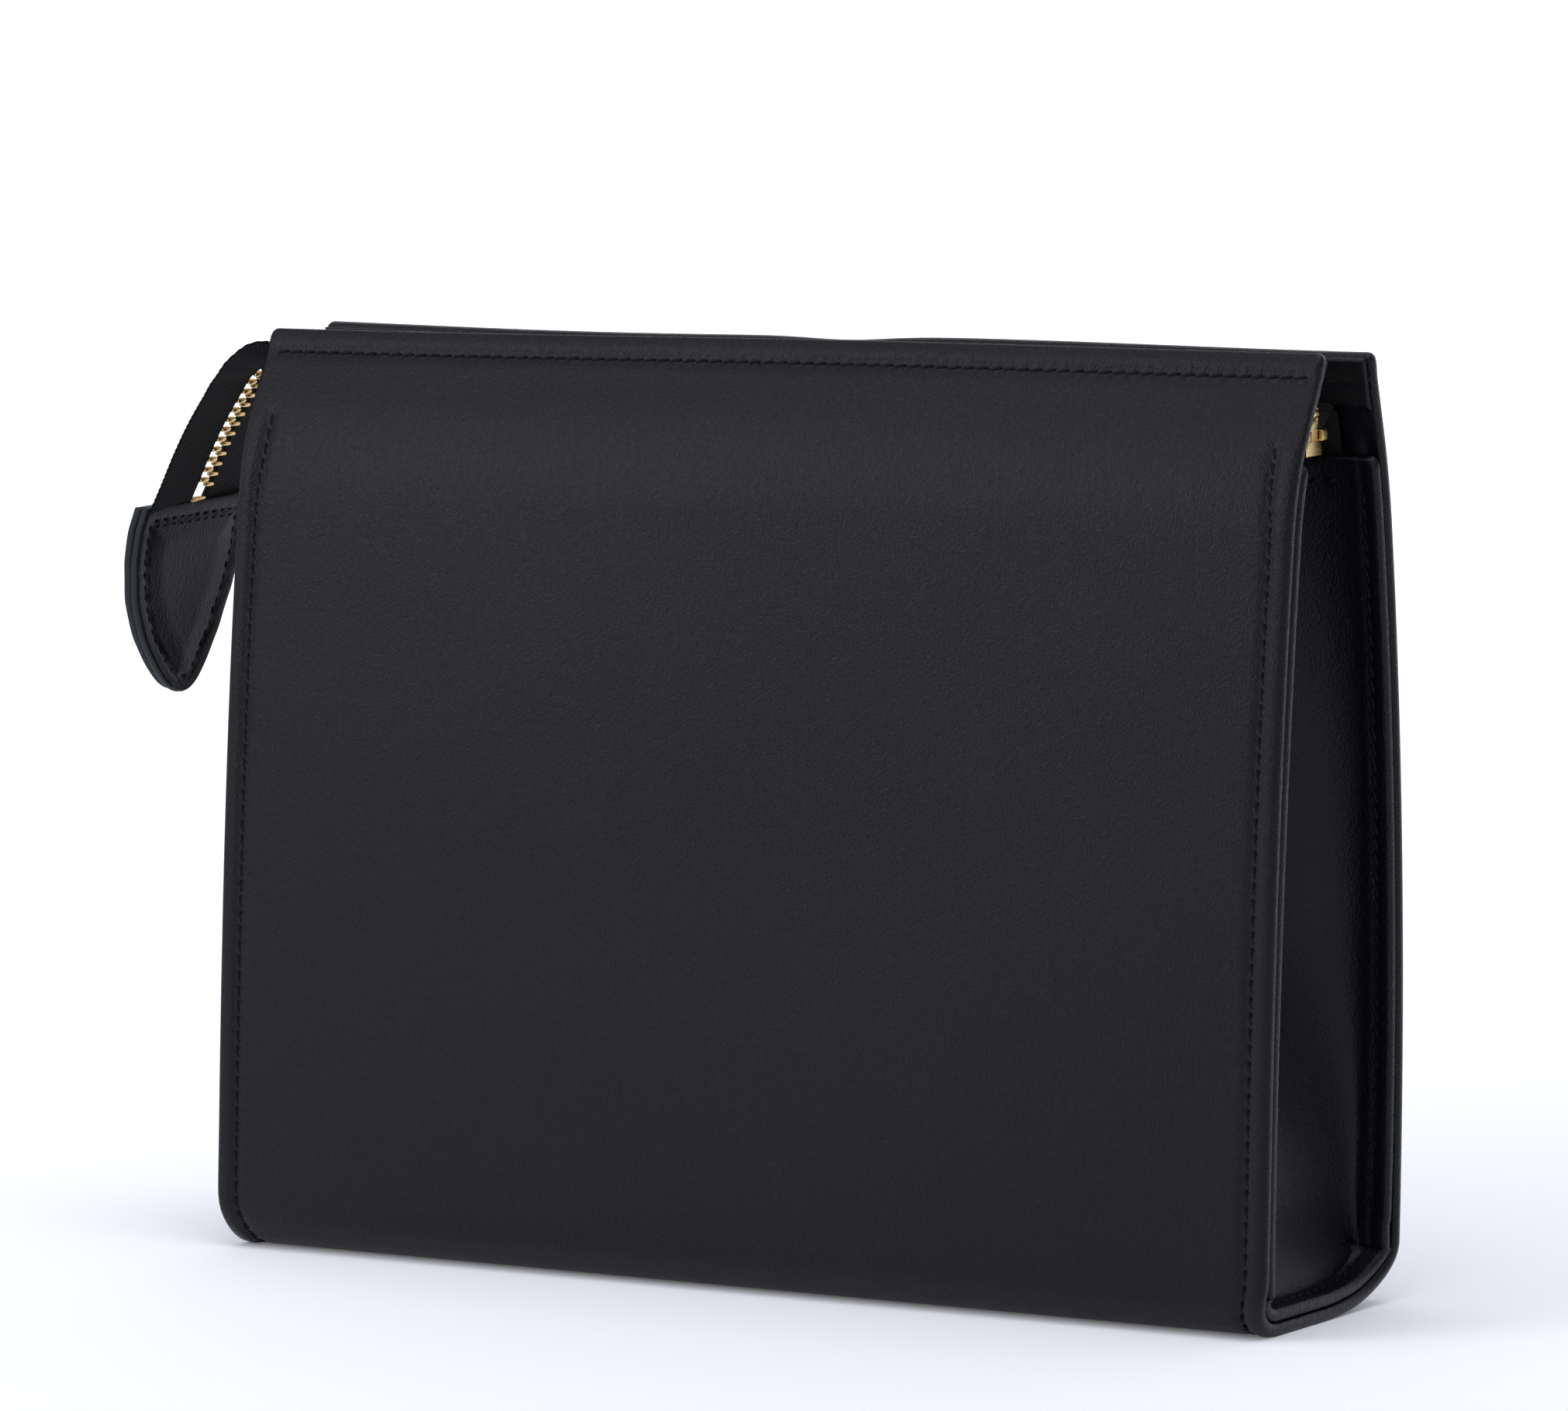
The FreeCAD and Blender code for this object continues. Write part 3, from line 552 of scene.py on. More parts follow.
def bezier(p0, p1, p2, p3, t):
    """Cubic Bezier curve; points are (..., 2) and t runs along a new last axis but one."""
    p0, p1, p2, p3 = (p[..., None, :] for p in (p0, p1, p2, p3))
    t = t[:, None]
    return (1 - t)**3 * p0 + 3 * (1 - t)**2 * t * p1 + 3 * (1 - t) * t**2 * p2 + t**3 * p3


def gusset_half(side, hand, name):
    """Half a gusset: rows go up, columns go from the flange's free edge in to the fold."""
    radius = TURNED
    flange = np.concatenate([edge_steps(radius), np.arange(radius + 0.6, ROOT - 0.4, 0.55)])
    t = np.linspace(0, 1, 30)
    tall = GUSSET_TOP - GUSSET_FOOT
    rise = np.concatenate([np.arange(0, tall - radius - 0.6, STEP), tall - edge_steps(radius)[::-1]]) / tall
    web_share = np.concatenate([np.zeros(len(flange)), smooth_step(t * 8)])
    foot = FLANGE_FOOT[side] + (GUSSET_FOOT - FLANGE_FOOT[side]) * web_share
    z = foot[None, :] + (GUSSET_TOP - foot[None, :]) * rise[:, None]
    level = z[:, -1]
    sign = SIGN[side]
    out = wall_out(side, np.maximum(level, CORNER + 0.5), FLANGE_FACE)
    half = half_width(side, length_at(side, np.maximum(level, 14))) - 0.3
    flange_x = half[:, None] - flange[None, :]
    flange_y = np.broadcast_to((sign * out)[:, None], flange_x.shape)
    start = np.stack([half - ROOT, sign * out], axis=-1)
    depth, middle = fold_depth(level), fold_y(level)
    hollow = HOLLOW * smooth_step((level - 5) / 20)
    end = np.stack([half - ROOT - 0.8 - hollow - 0.86 * depth, middle], axis=-1)
    lead = start - np.stack([1.6 + 0.8 * hollow + 0.3 * depth, 0 * depth], axis=-1)
    tail = end - np.stack([0 * depth, sign * -0.28 * np.abs(sign * out - middle)], axis=-1)
    web = bezier(start, lead, tail, end, t)
    plan = np.concatenate([np.stack([flange_x, flange_y], axis=-1), web], axis=1)
    in_web = np.concatenate([np.zeros(len(flange)), np.sin(math.pi * t)])
    crumple = 0.35 * np.sin(z / 17 + 1.3 * hand) * in_web
    face = np.stack([hand * (plan[..., 0] + crumple), plan[..., 1], z], axis=-1)
    beside = np.concatenate([flange, ROOT + t * 20])[None, :] + 0 * z
    below = GUSSET_TOP - z
    corner = 2.2
    near_corner = np.hypot(np.maximum(corner - beside, 0), np.maximum(corner - below, 0))
    edge = np.where((beside < corner) & (below < corner), corner - near_corner, np.minimum(beside, below))
    edge = np.minimum(edge, z - foot[None, :])
    hem = smooth_step((HEM_TALL + 0.8 - below) * 1.2)
    thin = smooth_step((beside - ROOT + 1.4) / 1.6)
    thickness = FLANGE_THICK + (WEB - FLANGE_THICK) * thin * (1 - 0.8 * hem)
    dent = stitch_dent(beside - FLANGE_SEAM + 0.3, z, 0.4, 0.8)
    dent = dent + stitch_dent(below - HEM_TALL, beside, 0.4, 0.7) * thin
    normal = grid_normals(face) * (-hand * sign)
    face = face - normal * dent[..., None]
    flat = np.stack([beside, z], axis=-1)
    return slab(name, face, np.maximum(edge, 0), thickness, radius, -hand * sign, flat), face


gusset_faces = {}
gussets = []
for end, hand in ENDS.items():
    for side in SIGN:
        piece, gusset_faces[end, side] = gusset_half(side, hand, f"{end}_{side}_gusset")
        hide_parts(f"{end}_gusset")
        gussets.append((piece, side))
print("gusset half:", len(gussets[0][0].data.polygons), "faces")

# %% [markdown]
# ## Base bands
# At the bottom the gusset's flange lies on the base panel: a turned band that runs round the
# U from one corner to the other and curves up into the web. It rides on the base.

# %% Base bands
BAND_FRONT_END, BAND_BACK_END = 8.0, 11.2


def cradle_line(front_height, back_height):
    """Stations round the U from a height on the front corner to one on the back corner."""
    ends = {side: np.interp(height, LINES[side]["z"], LINES[side]["s"])
            for side, height in (("front", front_height), ("back", back_height))}
    return np.linspace(-ends["front"], ends["back"], 90)


def on_base(x, s, inward):
    """Point on the U of the base; s is negative towards the front and positive to the back."""
    front, _ = on_wall("front", x, np.maximum(-s, 0), inward)
    back, _ = on_wall("back", x, np.maximum(s, 0), inward)
    return np.where((s < 0)[..., None], front, back)


def base_band(hand, name):
    """Band along the base: columns go in from the free edge and then curl up into the web."""
    radius = TURNED
    s = cradle_line(BAND_FRONT_END, BAND_BACK_END)
    across = np.concatenate([edge_steps(radius), np.arange(radius + 0.6, ROOT - 2.0, 0.8)])
    curl = np.linspace(0, math.pi / 2, 8)
    bend = 2.6
    inset = np.concatenate([across, ROOT - 2.0 + bend * np.sin(curl)])
    climb = np.concatenate([0 * across, bend * (1 - np.cos(curl))])
    inset, climb = (np.append(inset, inset[-1]), np.append(climb, climb[-1] + 2.5))
    s_grid = np.broadcast_to(s[:, None], (len(s), len(inset)))
    half = np.where(s < 0, half_width("front", np.abs(s)), half_width("back", np.abs(s))) - 0.2
    x = half[:, None] - inset[None, :]
    face = on_base(x, s_grid, FLANGE_FACE + climb[None, :])
    face[..., 0] *= hand
    length = s - s[0]
    edge = np.minimum(inset[None, :], np.minimum(length, length[-1] - length)[:, None] * 1.5)
    thickness = FLANGE_THICK + (WEB - FLANGE_THICK) * smooth_step((inset - 3.5) / 2)[None, :]
    return slab(name, face, edge, thickness, radius, -hand,
                np.stack([inset + 0 * s_grid, s_grid], axis=-1))


bands = []
for end, hand in ENDS.items():
    band = base_band(hand, f"{end}_base_band")
    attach(band, "base")
    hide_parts(f"{end}_gusset")
    bands.append(band)
    s = cradle_line(BAND_FRONT_END + 2, BAND_BACK_END - 3)
    x = np.where(s < 0, half_width("front", np.abs(s)), half_width("back", np.abs(s))) - FLANGE_SEAM
    points = on_base(x, s, FLANGE_FACE + 0.1)
    points[:, 0] *= hand
    ahead = unit(np.gradient(points, axis=0))
    normals = np.cross(ahead, np.array([1.0, 0, 0]))
    normals *= np.sign(normals[len(s) // 2, 2])
    row = stitches(f"{end}_base_stitches", *along_path(points, normals))
    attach(row, "base")
    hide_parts(f"{end}_base_stitching")
    seams.append(row)
print("bands", len(bands[0].data.polygons), "faces each")

# %% Gusset seams
for end, hand in ENDS.items():
    for side in SIGN:
        z = np.linspace(FLANGE_FOOT[side] + 3, GUSSET_TOP - HEM_TALL - 1, 600)
        half = half_width(side, length_at(side, z)) - FLANGE_SEAM
        points = np.stack([hand * half, SIGN[side] * wall_out(side, z, FLANGE_FACE - 0.3), z], axis=-1)
        normals = np.stack([0 * z, -SIGN[side] + 0 * z, 0 * z], axis=-1)
        row = stitches(f"{end}_{side}_flange_stitches", *along_path(points, normals))
        hem = gusset_faces[end, side]
        level = np.argmin(np.abs(hem[:, -1, 2] - (GUSSET_TOP - HEM_TALL)))
        hem_normals = grid_normals(hem)[level] * (-hand * SIGN[side])
        hem_row = stitches(f"{end}_{side}_hem_stitches",
                           *along_path(hem[level, HEM_SEAM_COLUMN:] + 0.2 * hem_normals[HEM_SEAM_COLUMN:],
                                       hem_normals[HEM_SEAM_COLUMN:]))
        for piece in (row, hem_row):
            gussets.append((piece, side))
            seams.append(piece)
print(len(seams), "seams in all")

# %% [markdown]
# ## The zip line
# The chain runs level between the walls, climbs at the left end over the gusset and turns down
# outside the bag. One smooth line in the plane of the chain carries the tapes and every tooth,
# so that tape and teeth can't part. It is a Catmull-Rom curve through a few points.

# %% Zip line
ZIP_Y, CHAIN_Z = 8.5, 182.6
ZIP_END = 121.7
ZIP_POINTS = np.array([
    (ZIP_END + 4, CHAIN_Z), (ZIP_END, CHAIN_Z), (0, CHAIN_Z), (-112, CHAIN_Z), (-120, 182.9), (-126.5, 184.7),
    (-132, 187.6), (-136.4, 189.8), (-139.8, 190.1), (-142.6, 188.6), (-146.2, 184.0), (-150.4, 178.0),
    (-154.5, 171.0), (-157.8, 164.6), (-160.4, 159.8), (-162.8, 155.4), (-164.6, 150.0), (-166.0, 143.0)])


def through_points(points, step=0.2):
    """Catmull-Rom curve: between two points a cubic whose slopes are half the step from the
    point before to the point after, scaled where the gaps differ."""
    gaps = np.linalg.norm(np.diff(points, axis=0), axis=1)
    before, after = gaps[:-1, None], gaps[1:, None]
    into, onward = (points[1:-1] - points[:-2]) / before, (points[2:] - points[1:-1]) / after
    slopes = (into * after + onward * before) / (before + after)
    runs = []
    for k in range(1, len(points) - 2):
        t = np.linspace(0, 1, max(int(gaps[k] / step), 4))[:-1, None]
        runs.append(hermite(points[k], gaps[k] * slopes[k - 1], points[k + 1], gaps[k] * slopes[k], t))
    return np.concatenate(runs)


zip_path = through_points(ZIP_POINTS)
zip_length = run_length(zip_path)
zip_ahead = unit(np.gradient(zip_path, zip_length, axis=0))


def on_zip(q):
    """Place (x, z), direction and upward normal at a length q along the zip line."""
    place, ahead = read_at(q, zip_length, zip_path), unit(read_at(q, zip_length, zip_ahead))
    return place, ahead, np.stack([ahead[..., 1], -ahead[..., 0]], axis=-1)


def zip_at(x):
    """Length along the zip line where it passes x."""
    return float(np.interp(-x, -zip_path[:, 0], zip_length))


TAIL_Q, END_Q = zip_at(-129.5), zip_at(-160.3)
print("zip line", round(zip_length[-1], 1), "mm, tail from", round(TAIL_Q, 1))


# %% [markdown]
# ## Zip tapes
# Each tape is a strip of ribbed cloth. Inside the bag it hangs from the facing and curves level
# to the teeth; outside it spreads flat, 33 mm wide, with a finely scalloped selvedge. It is a
# thin slab over the line: rows along the zip, columns from the teeth out. A small swelling
# beside the teeth is the cord that they clamp. Each tape's cut size is printed.


# %% Tapes in the bag
TAPE, TAPE_EDGE, TAPE_WIDE = 0.6, 2.3, 16.5
TAPE_ROUND = 0.35                    # how far in from a tape's edge its rounding reaches
TAPE_LEAD, TAPE_HANG = 3.4, 4.5      # level run beside the teeth, steep run below the facing
ROOT_WIDE, ROOT_FOLD = 11.4, 47.0    # half width and fold of the tape where it leaves the bag


def cord_bead(across):
    """Swelling over the cord that the teeth clamp: a bell curve 0.7 mm from the tape's edge."""
    return 0.9 * np.exp(-((across - 0.7) / 0.6) ** 2)


def wall_tape(side, name):
    """Tape from the teeth to under the facing: a Bezier curve level at the teeth, steep at the wall."""
    sign = SIGN[side]
    q = np.concatenate([[0.0], np.arange(0.5, zip_at(-130), 2.2), [zip_at(-130)]])
    place, _, _ = on_zip(q)
    x = place[:, 0]
    seam, _ = on_wall(side, x, np.full_like(x, RIM_S[side] - 9.0), HEM + 0.6)
    start = np.stack([np.full_like(x, ZIP_Y + sign * TAPE_EDGE), place[:, 1]], axis=-1)
    end = seam[:, 1:]
    lean = math.radians(STATIONS[side][-1][2])
    lead = start + np.array([sign * TAPE_LEAD, 0.0])
    tail = end - TAPE_HANG * np.array([-sign * math.sin(lean), math.cos(lean)])
    t = np.linspace(0, 1, 22)
    section = bezier(start, lead, tail, end, t)
    reach = TAPE_EDGE + (ROOT_WIDE - TAPE_EDGE) * t
    climb = (reach - TAPE_EDGE * 0.6) * math.sin(math.radians(ROOT_FOLD))
    free = np.stack([ZIP_Y + sign * reach * math.cos(math.radians(ROOT_FOLD)) + 0 * x[:, None],
                     place[:, 1, None] + climb], axis=-1)
    section = section + (free - section) * smooth_step((-x - 110) / 19)[:, None, None]
    face = np.concatenate([np.broadcast_to(x[:, None, None], section.shape[:2] + (1,)), section], axis=-1)
    width = np.linalg.norm(np.diff(section, axis=1), axis=-1).sum(axis=1)
    run = np.broadcast_to(q[:, None], section.shape[:2])
    across = width[:, None] * t[None, :]
    edge = np.minimum(np.minimum(run, q[-1] - run), np.minimum(across, width[:, None] - across))
    piece = slab(name, face, edge, TAPE + cord_bead(across), TAPE_ROUND, -sign,
                 np.stack([across, run], axis=-1))
    return piece, float(width.mean()), float(q[-1])


tapes = {}
for side in SIGN:
    tape, width, length = wall_tape(side, f"{side}_tape")
    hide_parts(f"{side}_zip_tape")
    tapes[side] = tape
    print(tape.name, "cut", round(width, 1), "x", round(length, 1), "mm")

# %% Tapes of the tail


def tail_tape(side, name):
    """Tape outside the bag: its half width grows as it leaves the seam, and it opens out flat.

    A point w from the chain lies w cos(f) across and w sin(f) up, and f falls from ROOT_FOLD
    to nothing along the tail. The selvedge is scalloped by a fine cosine."""
    sign = SIGN[side]
    q = np.arange(TAIL_Q, END_Q + 7, 0.42)
    place, _, up = on_zip(q)
    x = place[:, 0]
    open_out = smooth_step((-x - 130.5) / 13)
    fold = np.radians(ROOT_FOLD * (1 - open_out))
    wide = ROOT_WIDE + (TAPE_WIDE - ROOT_WIDE) * smooth_step((-x - 129.5) / 8)
    wide = wide + 0.16 * np.cos(2 * math.pi * q / 1.26)
    share = np.concatenate([[0, 0.012, 0.03], np.linspace(0.06, 0.97, 22), [0.985, 1.0]])
    across = TAPE_EDGE + (wide[:, None] - TAPE_EDGE) * share[None, :]
    bow = 0.5 * np.sin(math.pi * share)[None, :] * (1 - open_out)[:, None]
    y = ZIP_Y + sign * across * np.cos(fold)[:, None]
    lift = (across - TAPE_EDGE * 0.6) * np.sin(fold)[:, None] + bow
    face_x = place[:, 0, None] + lift * up[:, 0, None] * 0.35
    face_z = place[:, 1, None] + lift * (1 - 0.25 * open_out[:, None])
    face = np.stack([face_x, y, face_z], axis=-1)
    run = np.broadcast_to((q - q[0])[:, None], y.shape)
    edge = sheet_edge(run, np.minimum(across - TAPE_EDGE, wide[:, None] - across))
    piece = slab(name, face, np.maximum(edge, 0), TAPE + cord_bead(across - TAPE_EDGE), TAPE_ROUND, -sign,
                 np.stack([across, run], axis=-1))
    area = float((wide - TAPE_EDGE).mean() * (q[-1] - q[0]))
    return piece, float(TAPE_WIDE - TAPE_EDGE), float(q[-1] - q[0]), area


tail_parts = []
for side in SIGN:
    tape, width, length, area = tail_tape(side, f"{side}_tail")
    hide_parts(f"{side}_tail_tape")
    tail_parts.append(tape)
    print(tape.name, "cut", round(width, 1), "x", round(length, 1), "mm")

# %% [markdown]
# ## Zip teeth
# A metal tooth is a small stamped block that clamps the tape's cord with two legs and has a
# rounded head that meshes with the teeth opposite. There are over two hundred, so one tooth is
# five eight-sided rings, and the row is the same tooth placed along the line every 2.6 mm.

# %% Teeth
TOOTH_PITCH = 2.6
TOOTH_RINGS = np.array([  # across from the chain's middle, half length along it, half height
    (2.75, 0.40, 0.50), (2.55, 0.54, 0.68), (0.75, 0.54, 0.68), (0.15, 0.50, 0.60), (-0.35, 0.34, 0.40)])


def tooth_quads():
    """Quads of five eight-sided rings with an end of three quads at each end."""
    ring = np.arange(8)
    tube = [np.stack([k * 8 + ring, k * 8 + (ring + 1) % 8, (k + 1) * 8 + (ring + 1) % 8, (k + 1) * 8 + ring],
                     axis=-1) for k in range(4)]
    cap = np.array([[0, 7, 2, 1], [7, 6, 3, 2], [6, 5, 4, 3]])
    return np.concatenate(tube + [cap, cap[:, ::-1] + 32])


def teeth_row(name, side, q):
    """Teeth at lengths q along the zip line; a ring is a rounded rectangle (a squared circle)."""
    sign = SIGN[side]
    angle = (np.arange(8) + 0.5) * math.pi / 4
    squared = np.stack([np.cos(angle), np.sin(angle)], axis=-1) / np.maximum(
        np.abs(np.cos(angle)), np.abs(np.sin(angle)))[:, None] ** 0.8
    along = TOOTH_RINGS[:, 1, None] * squared[None, :, 0]
    high = TOOTH_RINGS[:, 2, None] * squared[None, :, 1]
    place, ahead, up = on_zip(q)
    plane = (place[:, None, None, :] + along[..., None] * ahead[:, None, None, :]
             + high[..., None] * up[:, None, None, :])
    y = np.broadcast_to(ZIP_Y + sign * TOOTH_RINGS[:, 0, None], (len(q),) + along.shape)
    points = np.stack([plane[..., 0], y, plane[..., 1]], axis=-1).reshape(-1, 3)
    quads = (np.arange(len(q))[:, None, None] * 40 + tooth_quads()).reshape(-1, 4)
    piece = add_piece(name, points, quads)
    return piece


chain = {}
for side in SIGN:
    offset = 0.6 if side == "front" else 0.6 + TOOTH_PITCH / 2
    q = offset + TOOTH_PITCH * np.arange(int((END_Q - 1.6) / TOOTH_PITCH))
    chain[side] = teeth_row(f"{side}_zip_teeth", side, q[q < TAIL_Q])
    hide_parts(f"{side}_teeth")
    tail_row = teeth_row(f"{side}_tail_zip_teeth", side, q[q >= TAIL_Q])
    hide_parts(f"{side}_tail_teeth")
    tail_parts.append(tail_row)
    print(side, "teeth:", int((q < TAIL_Q).sum()), "in the bag,", int((q >= TAIL_Q).sum()), "in the tail")

# %% [markdown]
# ## Slider, stops and pull
# These are die-cast: their shape is right in the CAD, but a casting has no sharp edges and a
# sharp edge catches no light. Each is a copy of its node with doubles merged and edges bevelled.


# %% Metal fittings
def softened(node, name, width):
    """A copy of a rigid node with its doubles merged and its sharp edges rounded."""
    shape = bmesh.new()
    shape.from_mesh(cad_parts[node].data)
    bmesh.ops.remove_doubles(shape, verts=shape.verts, dist=1e-6)
    bmesh.ops.dissolve_limit(shape, angle_limit=math.radians(2), verts=shape.verts, edges=shape.edges)
    sharp = [edge for edge in shape.edges
             if len(edge.link_faces) == 2 and edge.calc_face_angle(0) > math.radians(28)]
    bmesh.ops.bevel(shape, geom=sharp, offset=width * MM, segments=3, profile=0.5, affect="EDGES",
                    clamp_overlap=True)
    bmesh.ops.recalc_face_normals(shape, faces=shape.faces)
    mesh = bpy.data.meshes.new(name)
    shape.to_mesh(mesh)
    shape.free()
    smooth_faces(mesh)
    piece = bpy.data.objects.new(name, mesh)
    bpy.context.scene.collection.objects.link(piece)
    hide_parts(node)
    return piece


fittings = []
for node, name, body, slot, width in (
        ("slider_body", "slider_plates", "slider", "slider_metal", 0.28),
        ("slider_bridge", "slider_loop", "slider", "slider_metal", 0.25),
        ("pull_tab", "pull_plate", "pull", "slider_metal", 0.2),
        ("pull_pin", "pull_rivet", "pull", "slider_metal", 0.08),
        ("front_top_stop", "front_stop", "front_wall", "zip_metal", 0.25),
        ("back_top_stop", "back_stop", "back_wall", "zip_metal", 0.25)):
    piece = softened(node, name, width)
    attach(piece, body)
    fittings.append(piece)
print(len(fittings), "fittings")

# %% [markdown]
# ## The leather tab
# Two tongues of leather are glued and stitched over the end of the zip. Their edges are cut,
# not turned, so they are nearly square and show the raw fibre. A tongue is a slab whose rows
# go down from the straight top to the blunt tip, each row as wide as the outline is there.

# %% Tab sizes
TAB_TOP = np.array([-161.6, 8.2, 160.3])
TAB_ACROSS = unit(np.array([0.09, 1.0, 0.04]))
TAB_DOWN = unit(np.array([-0.105, -0.02, -1.0]))
TAB_OUT = np.cross(TAB_ACROSS, TAB_DOWN)     # away from the bag
TAB_LONG, TAB_LEATHER, TAB_FACE = 43.0, 2.0, 2.05
TAB_BOW = 2.6
TAB_SEAM = 3.3         # stitch line, in from the tongue's outline
TAB_SHARES = np.array([0, 0.12, 0.3, 0.5, 0.7, 0.85, 0.93, 0.98, 1.0])
TAB_HALVES = np.array([17.0, 17.7, 17.7, 16.1, 12.7, 8.7, 5.9, 3.0, 0.0])


def tab_half(share):
    """Half width of the tongue at a share of its length, by a smooth curve through few widths."""
    fine = np.linspace(0, 1, 400)
    rough = np.interp(fine, TAB_SHARES, TAB_HALVES)
    kernel = np.hanning(41) / np.hanning(41).sum()
    padded = np.concatenate([np.full(20, rough[0]), rough, np.zeros(20)])
    soft = np.convolve(padded, kernel, mode="valid")[: len(fine)]
    blend = smooth_step((fine - 0.86) / 0.1)
    tip = np.sqrt(np.maximum(1 - fine, 0)) * 22
    return np.interp(share, fine, soft * (1 - blend) + np.minimum(tip, rough + 2) * blend)


def tab_bow(down):
    """The tongue bows away from the bag between its top and its tip: a half sine."""
    return TAB_BOW * np.sin(math.pi * np.clip(down / TAB_LONG, 0, 1))


def tab_curl(across, down):
    """How far the tongue's sides curl back, growing with the square of the distance across."""
    return 0.9 * (across / 17) ** 2 * smooth_step((down - 4) / 14)


def tab_layer(name, start, thickness, good_side, dish):
    """One tongue. `start` is its good face's distance out from the tab's middle plane."""
    radius = 0.4
    share = np.concatenate([edge_steps(radius) / TAB_LONG, np.linspace(0.03, 0.9, 60),
                            1 - 0.1 * (1 - np.linspace(0, 1, 26)[1:]) ** 2])
    half = np.maximum(tab_half(share), 0)
    steps = edge_steps(radius)
    inner = np.linspace(-1, 1, 41)
    room = np.maximum(half - radius, 0)
    left = -half[:, None] + np.minimum(steps[None, :], half[:, None])
    across = np.concatenate([left, inner[None, 1:-1] * room[:, None], -left[:, ::-1]], axis=1)
    down = share * TAB_LONG
    slope = np.gradient(half, down)
    lean = 1 / np.sqrt(1 + slope**2)
    edge = np.minimum((half[:, None] - np.abs(across)) * lean[:, None], down[:, None])
    edge = np.maximum(np.minimum(edge, (TAB_LONG - down)[:, None]), 0)
    puff = dish * smooth_step((edge - 3.2) / 6)
    groove = stitch_dent(edge - TAB_SEAM, down[:, None] + np.abs(across), 0.45, 0.7)
    curl = tab_curl(across, down[:, None])
    distance = start + good_side * (puff - groove) - curl + tab_bow(down)[:, None]
    face = (TAB_TOP + across[..., None] * TAB_ACROSS + down[:, None, None] * TAB_DOWN
            + distance[..., None] * TAB_OUT)
    flat = np.stack([across, np.broadcast_to(down[:, None], across.shape)], axis=-1)
    return slab(name, face, edge, thickness, radius, good_side, flat)


# %% Tab leathers and stitches
tabs = [tab_layer("tab_front_leather", -TAB_FACE, TAB_LEATHER, -1.0, 0.55),
        tab_layer("tab_back_leather", TAB_FACE, TAB_LEATHER, 1.0, 0.4)]
for piece, node in zip(tabs, ("tab_inner_leather", "tab_outer_leather")):
    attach(piece, "tail")
    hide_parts(node)


def tab_ring(inset, start):
    """Stitch lines inside the tongue's outline, `start` out from the tab's middle plane."""
    share = np.linspace(inset / TAB_LONG, 1 - 1.2 * inset / TAB_LONG, 300)
    down = share * TAB_LONG
    half = tab_half(share)
    slope = np.gradient(half, down)
    half = np.maximum(half - inset * np.sqrt(1 + slope**2), 0)
    curl = tab_curl(half, down)
    sides = []
    for hand in (-1, 1):
        line = (TAB_TOP + (hand * half)[:, None] * TAB_ACROSS + down[:, None] * TAB_DOWN
                + (start - curl + tab_bow(down))[:, None] * TAB_OUT)
        sides.append(line)
    top = sides[0][0] + np.linspace(0, 1, 120)[:, None] * (sides[1][0] - sides[0][0])
    return sides, top


def tab_stitches(name, start, face):
    """Stitches down both sides and a double row across the top."""
    (left, right), top = tab_ring(TAB_SEAM, start)
    lines = [left, right, top, top + 1.3 * TAB_DOWN]
    rows = [along_path(line, np.broadcast_to(TAB_OUT * face, line.shape), 2.7) for line in lines]
    merged = [np.concatenate([row[k] for row in rows]) for k in range(3)]
    return stitches(name, *merged, length=2.0, width=0.55, rise=0.25, slant=10)


for name, start, face in (("tab_front_stitches", -TAB_FACE + 0.3, -1.0),
                          ("tab_back_stitches", TAB_FACE - 0.3, 1.0)):
    row = tab_stitches(name, start, face)
    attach(row, "tail")
    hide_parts("tab_stitching")
    seams.append(row)

stop = softened("bottom_stop", "tail_stop", 0.3)
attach(stop, "tail")
fittings.append(stop)
print("tab", [len(piece.data.polygons) for piece in tabs])

# %% [markdown]
# ## Linings
# Plain woven cloth, glued over the boards and left free over the gussets. It shows only when
# the bag is open. Each is a thin sheet a little inside the leather, with shallow slack waves.

# %% Wall and base linings
CLOTH = 0.4
LINING_HALF = 121.5
LINING_IN = 2.75                     # from the leather's outer face to the cloth
LINING_FOOT, LINING_DROP = 13.5, 10.5
BOARD, BOARD_HALF, BOARD_GAP = 0.8, 18, 0.85
linings = []


def wall_lining(side, name):
    """Cloth on the inner side of a wall, from the base corner up to under the facing."""
    s = np.linspace(float(length_at(side, LINING_FOOT)), RIM_S[side] - LINING_DROP, 80)
    x = np.linspace(-LINING_HALF, LINING_HALF, 110)
    x_grid, s_grid = np.meshgrid(x, s)
    slack = 0.25 * np.sin(x_grid / 13 + s_grid / 21) + 0.15 * np.sin(x_grid / 7 - s_grid / 11)
    face, _ = on_wall(side, x_grid, s_grid, LINING_IN + slack * smooth_step((s_grid - s[0]) / 12))
    run = s_grid - s[0]
    edge = sheet_edge(run, LINING_HALF - np.abs(x_grid))
    piece = slab(name, face, edge, CLOTH, CLOTH / 2, -SIGN[side],
                 np.stack([x_grid, s_grid], axis=-1))
    return piece, float(s[-1] - s[0])


for side in SIGN:
    cloth, tall = wall_lining(side, f"{side}_lining_cloth")
    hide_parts(f"{side}_lining")
    linings.append((cloth, side))

x_grid, s_grid = np.meshgrid(np.linspace(-LINING_HALF, LINING_HALF, 60),
                             np.linspace(-BOARD_HALF, BOARD_HALF, 30))
edge = np.minimum(BOARD_HALF - np.abs(s_grid), LINING_HALF - np.abs(x_grid))
board = slab("base_board", on_base(x_grid, s_grid, LEATHER + BOARD_GAP), edge, BOARD, 0.2, 1.0,
             np.stack([x_grid, s_grid], axis=-1))
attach(board, "base")
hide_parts("base_stiffener")

